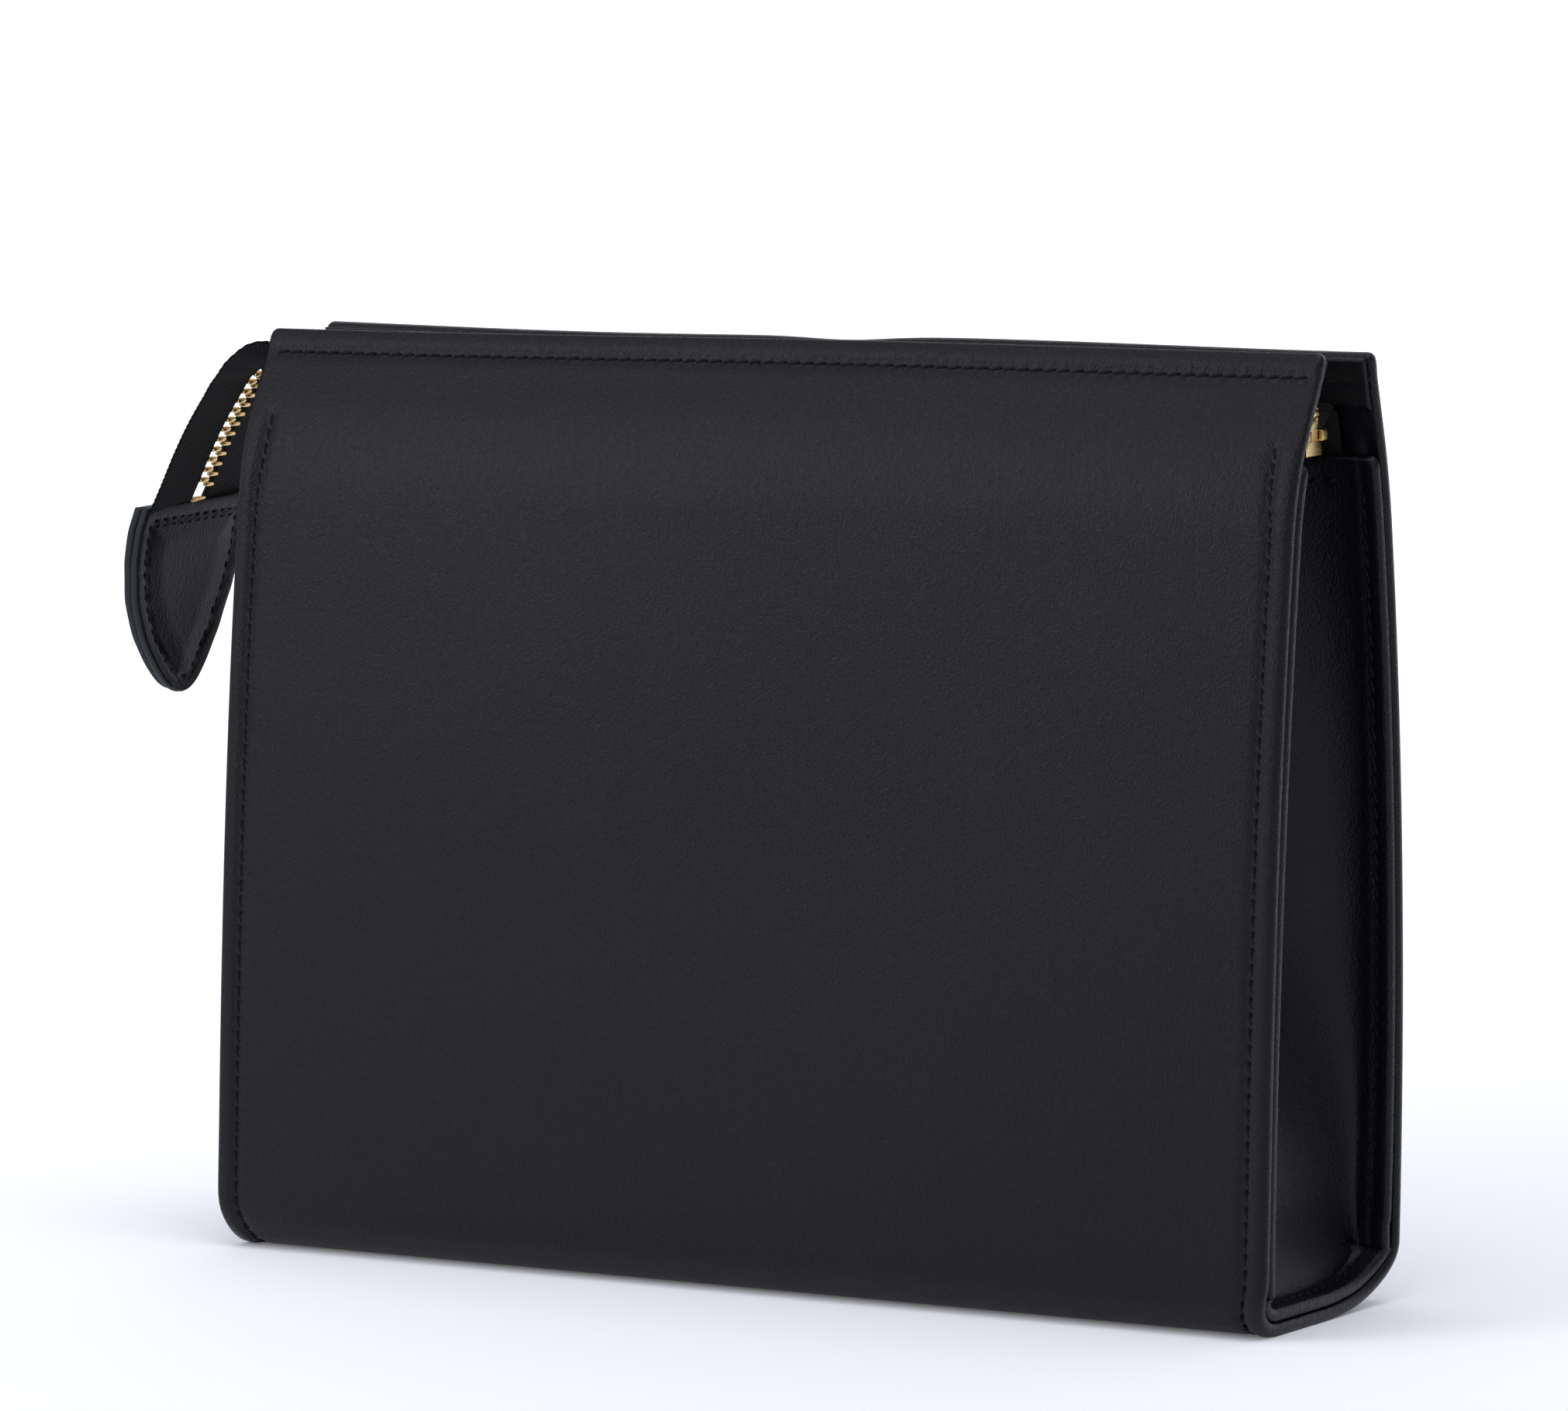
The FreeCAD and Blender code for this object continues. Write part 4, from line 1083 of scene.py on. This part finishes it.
s = cradle_line(11.8, 11.8)
x_grid, s_grid = np.meshgrid(np.linspace(-LINING_HALF, LINING_HALF, 90), s)
face = on_base(x_grid, s_grid, LINING_IN + 0.2 * np.sin(x_grid / 17))
run = s_grid - s[0]
edge = sheet_edge(run, LINING_HALF - np.abs(x_grid))
cloth = slab("base_lining_cloth", face, edge, CLOTH, CLOTH / 2, 1.0, np.stack([x_grid, s_grid], axis=-1))
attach(cloth, "base")
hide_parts("base_lining")
linings.append((cloth, None))
print("linings", len(linings))

# %% Gusset linings
LINING_ROWS, LINING_COLUMNS = slice(4, -6, 2), slice(16, None, 2)   # web that it covers
WEB_GAP = 1.9                        # from the web's outer face to its cloth


def gusset_lining(end, side, hand, name):
    """Cloth behind half a gusset's web: the web's grid moved inside the bag."""
    web = gusset_faces[end, side][LINING_ROWS, LINING_COLUMNS]
    inside = web + grid_normals(web) * (hand * SIGN[side]) * WEB_GAP
    length = np.linalg.norm(np.diff(inside, axis=1), axis=-1).sum(axis=1)
    share = np.linspace(0, 1, inside.shape[1])
    across = length[:, None] * share[None, :]
    run = inside[..., 2]
    edge = np.minimum(np.minimum(run - run.min(axis=0), run.max(axis=0) - run), across)
    piece = slab(name, inside, np.maximum(edge, 0), CLOTH, CLOTH / 2, -hand * SIGN[side],
                 np.stack([across, run], axis=-1))
    rise = np.linalg.norm(np.diff(inside, axis=0), axis=-1).sum(axis=0)
    return piece, float(length.max()), float(rise.max()), float(length.mean() * rise.mean())


for end, hand in ENDS.items():
    for side in SIGN:
        cloth, wide, tall, area = gusset_lining(end, side, hand, f"{end}_{side}_gusset_cloth")
        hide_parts(f"{end}_gusset_lining")
        gussets.append((cloth, side))
        print(cloth.name, "cut", round(wide, 1), "x", round(tall, 1), "mm, area", round(area), "mm2")

# %% [markdown]
# ## The soft pieces at the joints
# On the real bag a wall opens about its foot while the base stands still, so the shell bends
# over the first few centimetres above the corner. A gusset half follows its wall at the flange
# and the base at the fold. Near the left end the tapes and teeth stay closed, and the tail bends
# as it lifts. Here those pieces only have their placement baked into their points; nothing bends.

# %% Bake the placements of the soft pieces
for side, sign in SIGN.items():
    side_seams = [seam for seam in seams
                  if seam.name.startswith(f"{side}_") and "seam_stitches" in seam.name]
    for piece in [shells[side]] + side_seams + [cloth for cloth, wall in linings if wall == side]:
        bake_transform(piece)
    for piece in (tapes[side], chain[side]):
        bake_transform(piece)
    for piece, wall in gussets:
        if wall == side:
            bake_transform(piece)

for piece in tail_parts:
    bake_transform(piece)

# %% [markdown]
# ## Finishes
# Leather is dark pigment under a soft sheen: its look is nearly all in the bump and the
# roughness. Cells of a Voronoi pattern make the pebbles of the grain, stretched a little up
# the hide, and finer noise breaks them. A shared group gives the grain, so that the shell and
# the tab wear the same hide at their own strength. Shaders stay in each material.


# %% Node helpers
def new_material(name):
    """An empty material with a Principled shader on its output."""
    material = bpy.data.materials.new(name)
    material.use_nodes = True
    tree = material.node_tree
    tree.nodes.clear()
    shader = tree.nodes.new("ShaderNodeBsdfPrincipled")
    output = tree.nodes.new("ShaderNodeOutputMaterial")
    tree.links.new(shader.outputs["BSDF"], output.inputs["Surface"])
    return material, tree, shader


def node(tree, kind, **settings):
    """A new node; settings name its properties."""
    made = tree.nodes.new(kind)
    for key, value in settings.items():
        setattr(made, key, value)
    return made


def maths(tree, operation, first, second=None, third=None, clamp=False):
    """A Math node fed by sockets or numbers."""
    made = node(tree, "ShaderNodeMath", operation=operation, use_clamp=clamp)
    for slot_number, value in enumerate((first, second, third)):
        if isinstance(value, (int, float)):
            made.inputs[slot_number].default_value = value
        elif value is not None:
            tree.links.new(value, made.inputs[slot_number])
    return made.outputs[0]


def colour_mix(tree, share, first, second):
    """A Mix node between two colours, sockets or tuples."""
    made = node(tree, "ShaderNodeMix", data_type="RGBA")
    tree.links.new(share, made.inputs["Factor"])
    for socket, value in ((made.inputs[6], first), (made.inputs[7], second)):   # its colour sockets
        if isinstance(value, tuple):
            socket.default_value = value
        else:
            tree.links.new(value, socket)
    return made.outputs[2]


def scaled(tree, vector, scale):
    """A vector scaled axis by axis."""
    made = node(tree, "ShaderNodeMapping")
    made.inputs["Scale"].default_value = scale
    tree.links.new(vector, made.inputs["Vector"])
    return made.outputs["Vector"]


def noise(tree, vector, scale, detail, roughness):
    """Noise value of a vector."""
    made = node(tree, "ShaderNodeTexNoise", noise_dimensions="3D")
    made.inputs["Scale"].default_value = scale
    made.inputs["Detail"].default_value = detail
    made.inputs["Roughness"].default_value = roughness
    tree.links.new(vector, made.inputs["Vector"])
    return made.outputs["Fac"]


# %% Grain group
def grain_group():
    """Leather grain: Height = 0.6 pebble + 0.42 fine + 0.5 creases; Tone = slow patches, 0 to 1."""
    group = bpy.data.node_groups.new("leather grain", "ShaderNodeTree")
    group.interface.new_socket("Vector", in_out="INPUT", socket_type="NodeSocketVector")
    size = group.interface.new_socket("Pebbles per metre", in_out="INPUT", socket_type="NodeSocketFloat")
    size.default_value = 1500
    group.interface.new_socket("Height", in_out="OUTPUT", socket_type="NodeSocketFloat")
    group.interface.new_socket("Tone", in_out="OUTPUT", socket_type="NodeSocketFloat")
    entry, result = node(group, "NodeGroupInput"), node(group, "NodeGroupOutput")
    wander = node(group, "ShaderNodeTexNoise")
    wander.inputs["Scale"].default_value = 700
    wander.inputs["Detail"].default_value = 2
    group.links.new(entry.outputs["Vector"], wander.inputs["Vector"])
    shift = node(group, "ShaderNodeVectorMath", operation="SCALE")
    shift.inputs["Scale"].default_value = 0.0007
    group.links.new(wander.outputs["Color"], shift.inputs[0])
    moved = node(group, "ShaderNodeVectorMath", operation="ADD")
    group.links.new(entry.outputs["Vector"], moved.inputs[0])
    group.links.new(shift.outputs[0], moved.inputs[1])
    stretched = scaled(group, moved.outputs[0], (1, 1, 0.72))
    cells = node(group, "ShaderNodeTexVoronoi", feature="SMOOTH_F1")
    cells.inputs["Smoothness"].default_value = 0.35
    group.links.new(stretched, cells.inputs["Vector"])
    group.links.new(entry.outputs["Pebbles per metre"], cells.inputs["Scale"])
    pebble = maths(group, "SUBTRACT", 1.0, cells.outputs["Distance"], clamp=True)
    fine = noise(group, moved.outputs[0], 5200, 3, 0.6)
    creases = noise(group, stretched, 420, 3, 0.62)
    height = maths(group, "MULTIPLY_ADD", fine, 0.42, maths(group, "MULTIPLY", pebble, 0.6))
    height = maths(group, "MULTIPLY_ADD", creases, 0.5, height)
    group.links.new(height, result.inputs["Height"])
    group.links.new(noise(group, entry.outputs["Vector"], 38, 4, 0.6), result.inputs["Tone"])
    return group


GRAIN = grain_group()


def grain_in(tree, pebbles):
    """The grain group placed in a material on object coordinates."""
    where = node(tree, "ShaderNodeTexCoord")
    made = node(tree, "ShaderNodeGroup", node_tree=GRAIN)
    made.inputs["Pebbles per metre"].default_value = pebbles
    tree.links.new(where.outputs["Object"], made.inputs["Vector"])
    return made.outputs["Height"], made.outputs["Tone"]


def attribute(tree, name):
    """A value that the mesh carries at its points."""
    return node(tree, "ShaderNodeAttribute", attribute_name=name).outputs["Fac"]


def bump(tree, shader, height, distance):
    """A bump of that many metres on the shader's normal."""
    made = node(tree, "ShaderNodeBump")
    made.inputs["Distance"].default_value = distance
    made.inputs["Strength"].default_value = 1.0
    tree.links.new(height, made.inputs["Height"])
    tree.links.new(made.outputs["Normal"], shader.inputs["Normal"])


# %% Leather
PEBBLES = 2100         # grain cells in a metre of hide


def leather_material(name, dark, light, roughness, depth, cut_edge=None):
    """Black hide: slow tone patches, glossier on worn turned edges, fibres on a cut edge."""
    material, tree, shader = new_material(name)
    height, tone = grain_in(tree, PEBBLES)
    worn = maths(tree, "MULTIPLY", attribute(tree, "rim"), tone, clamp=True)
    colour = colour_mix(tree, tone, dark, light)
    rough = maths(tree, "MULTIPLY_ADD", height, -0.16, roughness + 0.12)
    rough = maths(tree, "MULTIPLY_ADD", worn, -0.12, rough)
    if cut_edge is not None:
        fibre = maths(tree, "SUBTRACT", attribute(tree, "rim"), 0.25)
        fibre = maths(tree, "MULTIPLY", fibre, 3.5, clamp=True)
        colour = colour_mix(tree, fibre, colour, cut_edge)
        rough = maths(tree, "MULTIPLY_ADD", fibre, 0.35, rough, clamp=True)
    tree.links.new(colour, shader.inputs["Base Color"])
    tree.links.new(rough, shader.inputs["Roughness"])
    shader.inputs["Specular IOR Level"].default_value = 0.2
    bump(tree, shader, height, depth)
    return material


LEATHER_FINISH = leather_material("black leather", (0.0026, 0.0025, 0.0042, 1), (0.0052, 0.0049, 0.0078, 1),
                                  0.30, 0.00014)
TAB_FINISH = leather_material("tab leather", (0.0030, 0.0029, 0.0044, 1), (0.0060, 0.0058, 0.0084, 1),
                              0.31, 0.00012, cut_edge=(0.014, 0.021, 0.024, 1))


# %% Cloth and thread
def weave_group():
    """Weave on flat coordinates: height = |sin warp| (0.2 + 0.8 |sin weft|) + 0.35 fuzz."""
    group = bpy.data.node_groups.new("weave", "ShaderNodeTree")
    for label, value in (("Warp per metre", 2000.0), ("Weft per metre", 2000.0), ("Twill", 0.0)):
        socket = group.interface.new_socket(label, in_out="INPUT", socket_type="NodeSocketFloat")
        socket.default_value = value
    group.interface.new_socket("Flat", in_out="INPUT", socket_type="NodeSocketVector")
    group.interface.new_socket("Height", in_out="OUTPUT", socket_type="NodeSocketFloat")
    entry, result = node(group, "NodeGroupInput"), node(group, "NodeGroupOutput")
    parts = node(group, "ShaderNodeSeparateXYZ")
    group.links.new(entry.outputs["Flat"], parts.inputs[0])
    warp = maths(group, "MULTIPLY", parts.outputs["X"], entry.outputs["Warp per metre"])
    weft = maths(group, "MULTIPLY", parts.outputs["Y"], entry.outputs["Weft per metre"])
    weft = maths(group, "MULTIPLY_ADD", warp, entry.outputs["Twill"], weft)
    over = maths(group, "ABSOLUTE", maths(group, "SINE", maths(group, "MULTIPLY", warp, math.pi)))
    under = maths(group, "ABSOLUTE", maths(group, "SINE", maths(group, "MULTIPLY", weft, math.pi)))
    height = maths(group, "MULTIPLY", over, maths(group, "MULTIPLY_ADD", under, 0.8, 0.2))
    fuzz = noise(group, entry.outputs["Flat"], 5000, 2, 0.6)
    group.links.new(maths(group, "MULTIPLY_ADD", fuzz, 0.35, height), result.inputs["Height"])
    return group


WEAVE = weave_group()


def cloth_material(name, dark, light, warp, weft, twill, depth, sheen):
    """Woven cloth: dull, a little fuzz sheen, painted highlight on yarn crowns and painted shade between."""
    material, tree, shader = new_material(name)
    flat = node(tree, "ShaderNodeUVMap", uv_map="flat")
    made = node(tree, "ShaderNodeGroup", node_tree=WEAVE)
    made.inputs["Warp per metre"].default_value = warp
    made.inputs["Weft per metre"].default_value = weft
    made.inputs["Twill"].default_value = twill
    tree.links.new(flat.outputs["UV"], made.inputs["Flat"])
    height = made.outputs["Height"]
    # The colour follows the weave's height: painted shade between the yarns, painted highlight on their
    # crowns.
    tree.links.new(colour_mix(tree, maths(tree, "MULTIPLY", height, 0.9, clamp=True), dark, light),
                   shader.inputs["Base Color"])
    tree.links.new(maths(tree, "MULTIPLY_ADD", height, -0.15, 0.88), shader.inputs["Roughness"])
    shader.inputs["Sheen Weight"].default_value = sheen
    shader.inputs["Sheen Roughness"].default_value = 0.5
    shader.inputs["Specular IOR Level"].default_value = 0.12
    bump(tree, shader, height, depth)
    return material


# For each cloth the darker colour is painted shade between the yarns and the lighter one is painted highlight
# on their crowns.
TAPE_FINISH = cloth_material("zip tape cloth", (0.0016, 0.0016, 0.002, 1), (0.0085, 0.0085, 0.009, 1),
                             900, 1500, 0.5, 0.0002, 0.03)
LINING_FINISH = cloth_material("lining cloth", (0.004, 0.004, 0.005, 1), (0.014, 0.014, 0.016, 1),
                               2200, 2200, 0.0, 0.00008, 0.08)


def thread_material():
    """Bonded thread: nearly black, a little waxy, fine slanting twist ridges with painted highlight and
    shade.
    """
    material, tree, shader = new_material("bonded thread")
    flat = node(tree, "ShaderNodeUVMap", uv_map="flat")
    parts = node(tree, "ShaderNodeSeparateXYZ")
    tree.links.new(flat.outputs["UV"], parts.inputs[0])
    lead = maths(tree, "MULTIPLY_ADD", parts.outputs["Y"], 1.2, parts.outputs["X"])
    twist = maths(tree, "ABSOLUTE", maths(tree, "SINE", maths(tree, "MULTIPLY", lead, 7000.0)))
    # The twist sets the colour: painted highlight on each ridge, painted shade in the grooves between.
    tree.links.new(colour_mix(tree, twist, (0.0012, 0.0012, 0.0015, 1), (0.0035, 0.0035, 0.004, 1)),
                   shader.inputs["Base Color"])
    tree.links.new(maths(tree, "MULTIPLY_ADD", twist, -0.12, 0.6), shader.inputs["Roughness"])
    shader.inputs["Specular IOR Level"].default_value = 0.12
    bump(tree, shader, twist, 0.00006)
    return material


THREAD_FINISH = thread_material()


# %% Metal and board
def metal_material(name, base, worn, roughness):
    """Gold-coloured metal: cloudy tarnish and fine scratches vary its colour and roughness."""
    material, tree, shader = new_material(name)
    where = node(tree, "ShaderNodeTexCoord").outputs["Object"]
    cloud = noise(tree, where, 320, 3, 0.6)
    scratch = noise(tree, scaled(tree, where, (1, 6, 1)), 2600, 3, 0.7)
    tree.links.new(colour_mix(tree, cloud, base, worn), shader.inputs["Base Color"])
    rough = maths(tree, "MULTIPLY_ADD", cloud, 0.12, roughness - 0.06)
    tree.links.new(maths(tree, "MULTIPLY_ADD", scratch, 0.08, rough), shader.inputs["Roughness"])
    shader.inputs["Metallic"].default_value = 1.0
    bump(tree, shader, scratch, 0.00002)
    return material


ZIP_FINISH = metal_material("zip gold", (0.80, 0.58, 0.27, 1), (0.62, 0.41, 0.16, 1), 0.22)
SLIDER_FINISH = metal_material("slider gold", (0.92, 0.69, 0.33, 1), (0.80, 0.56, 0.24, 1), 0.18)


def board_material():
    """Flexible board: dull black with pressed fibres."""
    material, tree, shader = new_material("flexible board")
    where = node(tree, "ShaderNodeTexCoord").outputs["Object"]
    fibre = noise(tree, scaled(tree, where, (1, 1, 3)), 1400, 4, 0.65)
    tree.links.new(colour_mix(tree, fibre, (0.006, 0.006, 0.007, 1), (0.014, 0.014, 0.015, 1)),
                   shader.inputs["Base Color"])
    tree.links.new(maths(tree, "MULTIPLY_ADD", fibre, 0.1, 0.8), shader.inputs["Roughness"])
    bump(tree, shader, fibre, 0.00008)
    return material


BOARD_FINISH = board_material()
print("materials", len(bpy.data.materials))

# %% Put the finishes on


def dress(piece, material):
    """The piece wears one material."""
    piece.data.materials.clear()
    piece.data.materials.append(material)


for piece in list(shells.values()) + facings + bands + [p for p, _ in gussets if p.name.endswith("_gusset")]:
    dress(piece, LEATHER_FINISH)
for piece in tabs:
    dress(piece, TAB_FINISH)
for piece in seams:
    dress(piece, THREAD_FINISH)
for piece in list(tapes.values()) + [p for p in tail_parts if "teeth" not in p.name]:
    dress(piece, TAPE_FINISH)
for piece in [p for p, _ in linings] + [p for p, _ in gussets if "cloth" in p.name]:
    dress(piece, LINING_FINISH)
for piece in list(chain.values()) + [p for p in tail_parts if "teeth" in p.name]:
    dress(piece, ZIP_FINISH)
for piece in fittings:
    dress(piece, ZIP_FINISH if "stop" in piece.name else SLIDER_FINISH)
for piece in (board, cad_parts["front_stiffener"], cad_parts["back_stiffener"]):
    dress(piece, BOARD_FINISH)


# %% Floor and light
def studio_sweep():
    """Floor that curves up into a backdrop: flat, a quarter circle, then a wall."""
    reach, bend, height, wide = 2.2, 1.0, 3.0, 5.0
    angle = np.linspace(0, math.pi / 2, 24)
    y = np.concatenate([[-4.0, 0.0], reach + bend * np.sin(angle), [reach + bend]])
    z = np.concatenate([[0.0, 0.0], bend * (1 - np.cos(angle)), [height]])
    x = np.linspace(-wide, wide, 3)
    grid = np.stack(np.broadcast_arrays(x[None, :], y[:, None], z[:, None]), axis=-1)
    far = np.repeat(np.clip(y / reach, 0, 1), len(x))
    return add_piece("studio_floor", grid.reshape(-1, 3) / MM, grid_quads(len(y), len(x)), marks={"far": far})


def floor_material():
    """Pale matt sheet that glows a little more the further back it lies."""
    material, tree, shader = new_material("studio floor")
    shader.inputs["Base Color"].default_value = (0.90, 0.905, 0.93, 1)
    shader.inputs["Roughness"].default_value = 0.9
    shader.inputs["Emission Color"].default_value = (0.97, 0.975, 1.0, 1)
    glow = maths(tree, "MULTIPLY_ADD", attribute(tree, "far"), 0.56, 0.09)
    tree.links.new(glow, shader.inputs["Emission Strength"])
    return material


floor = studio_sweep()
floor.data.transform(Matrix.Rotation(AZIMUTH, 4, "Z"))
dress(floor, floor_material())

world = bpy.data.worlds.new("studio")
bpy.context.scene.world = world
world.use_nodes = True
world.node_tree.nodes["Background"].inputs["Color"].default_value = (0.90, 0.93, 1.0, 1)
world.node_tree.nodes["Background"].inputs["Strength"].default_value = 0.42


def soft_light(name, place, aim_at, size, power):
    """A square area light that looks at a point."""
    data = bpy.data.lights.new(name, "AREA")
    data.energy, data.size = power, size
    data.color = (0.93, 0.95, 1.0)
    lamp = bpy.data.objects.new(name, data)
    lamp.location = place
    lamp.rotation_euler = (Vector(aim_at) - Vector(place)).to_track_quat("-Z", "Y").to_euler()
    bpy.context.scene.collection.objects.link(lamp)


middle = (0, 0, 0.1)
soft_light("key_high", (-0.58, -0.76, 0.92), (-0.02, 0, 0.17), 0.6, 2.1)
soft_light("key_low", (-0.66, -0.86, 0.48), (-0.06, 0, 0.16), 0.42, 2.6)
soft_light("top", (0.3, -0.2, 1.9), middle, 1.6, 20)
soft_light("fill", (1.6, -0.9, 0.9), middle, 1.2, 2)
bpy.context.scene.view_settings.view_transform = "Standard"
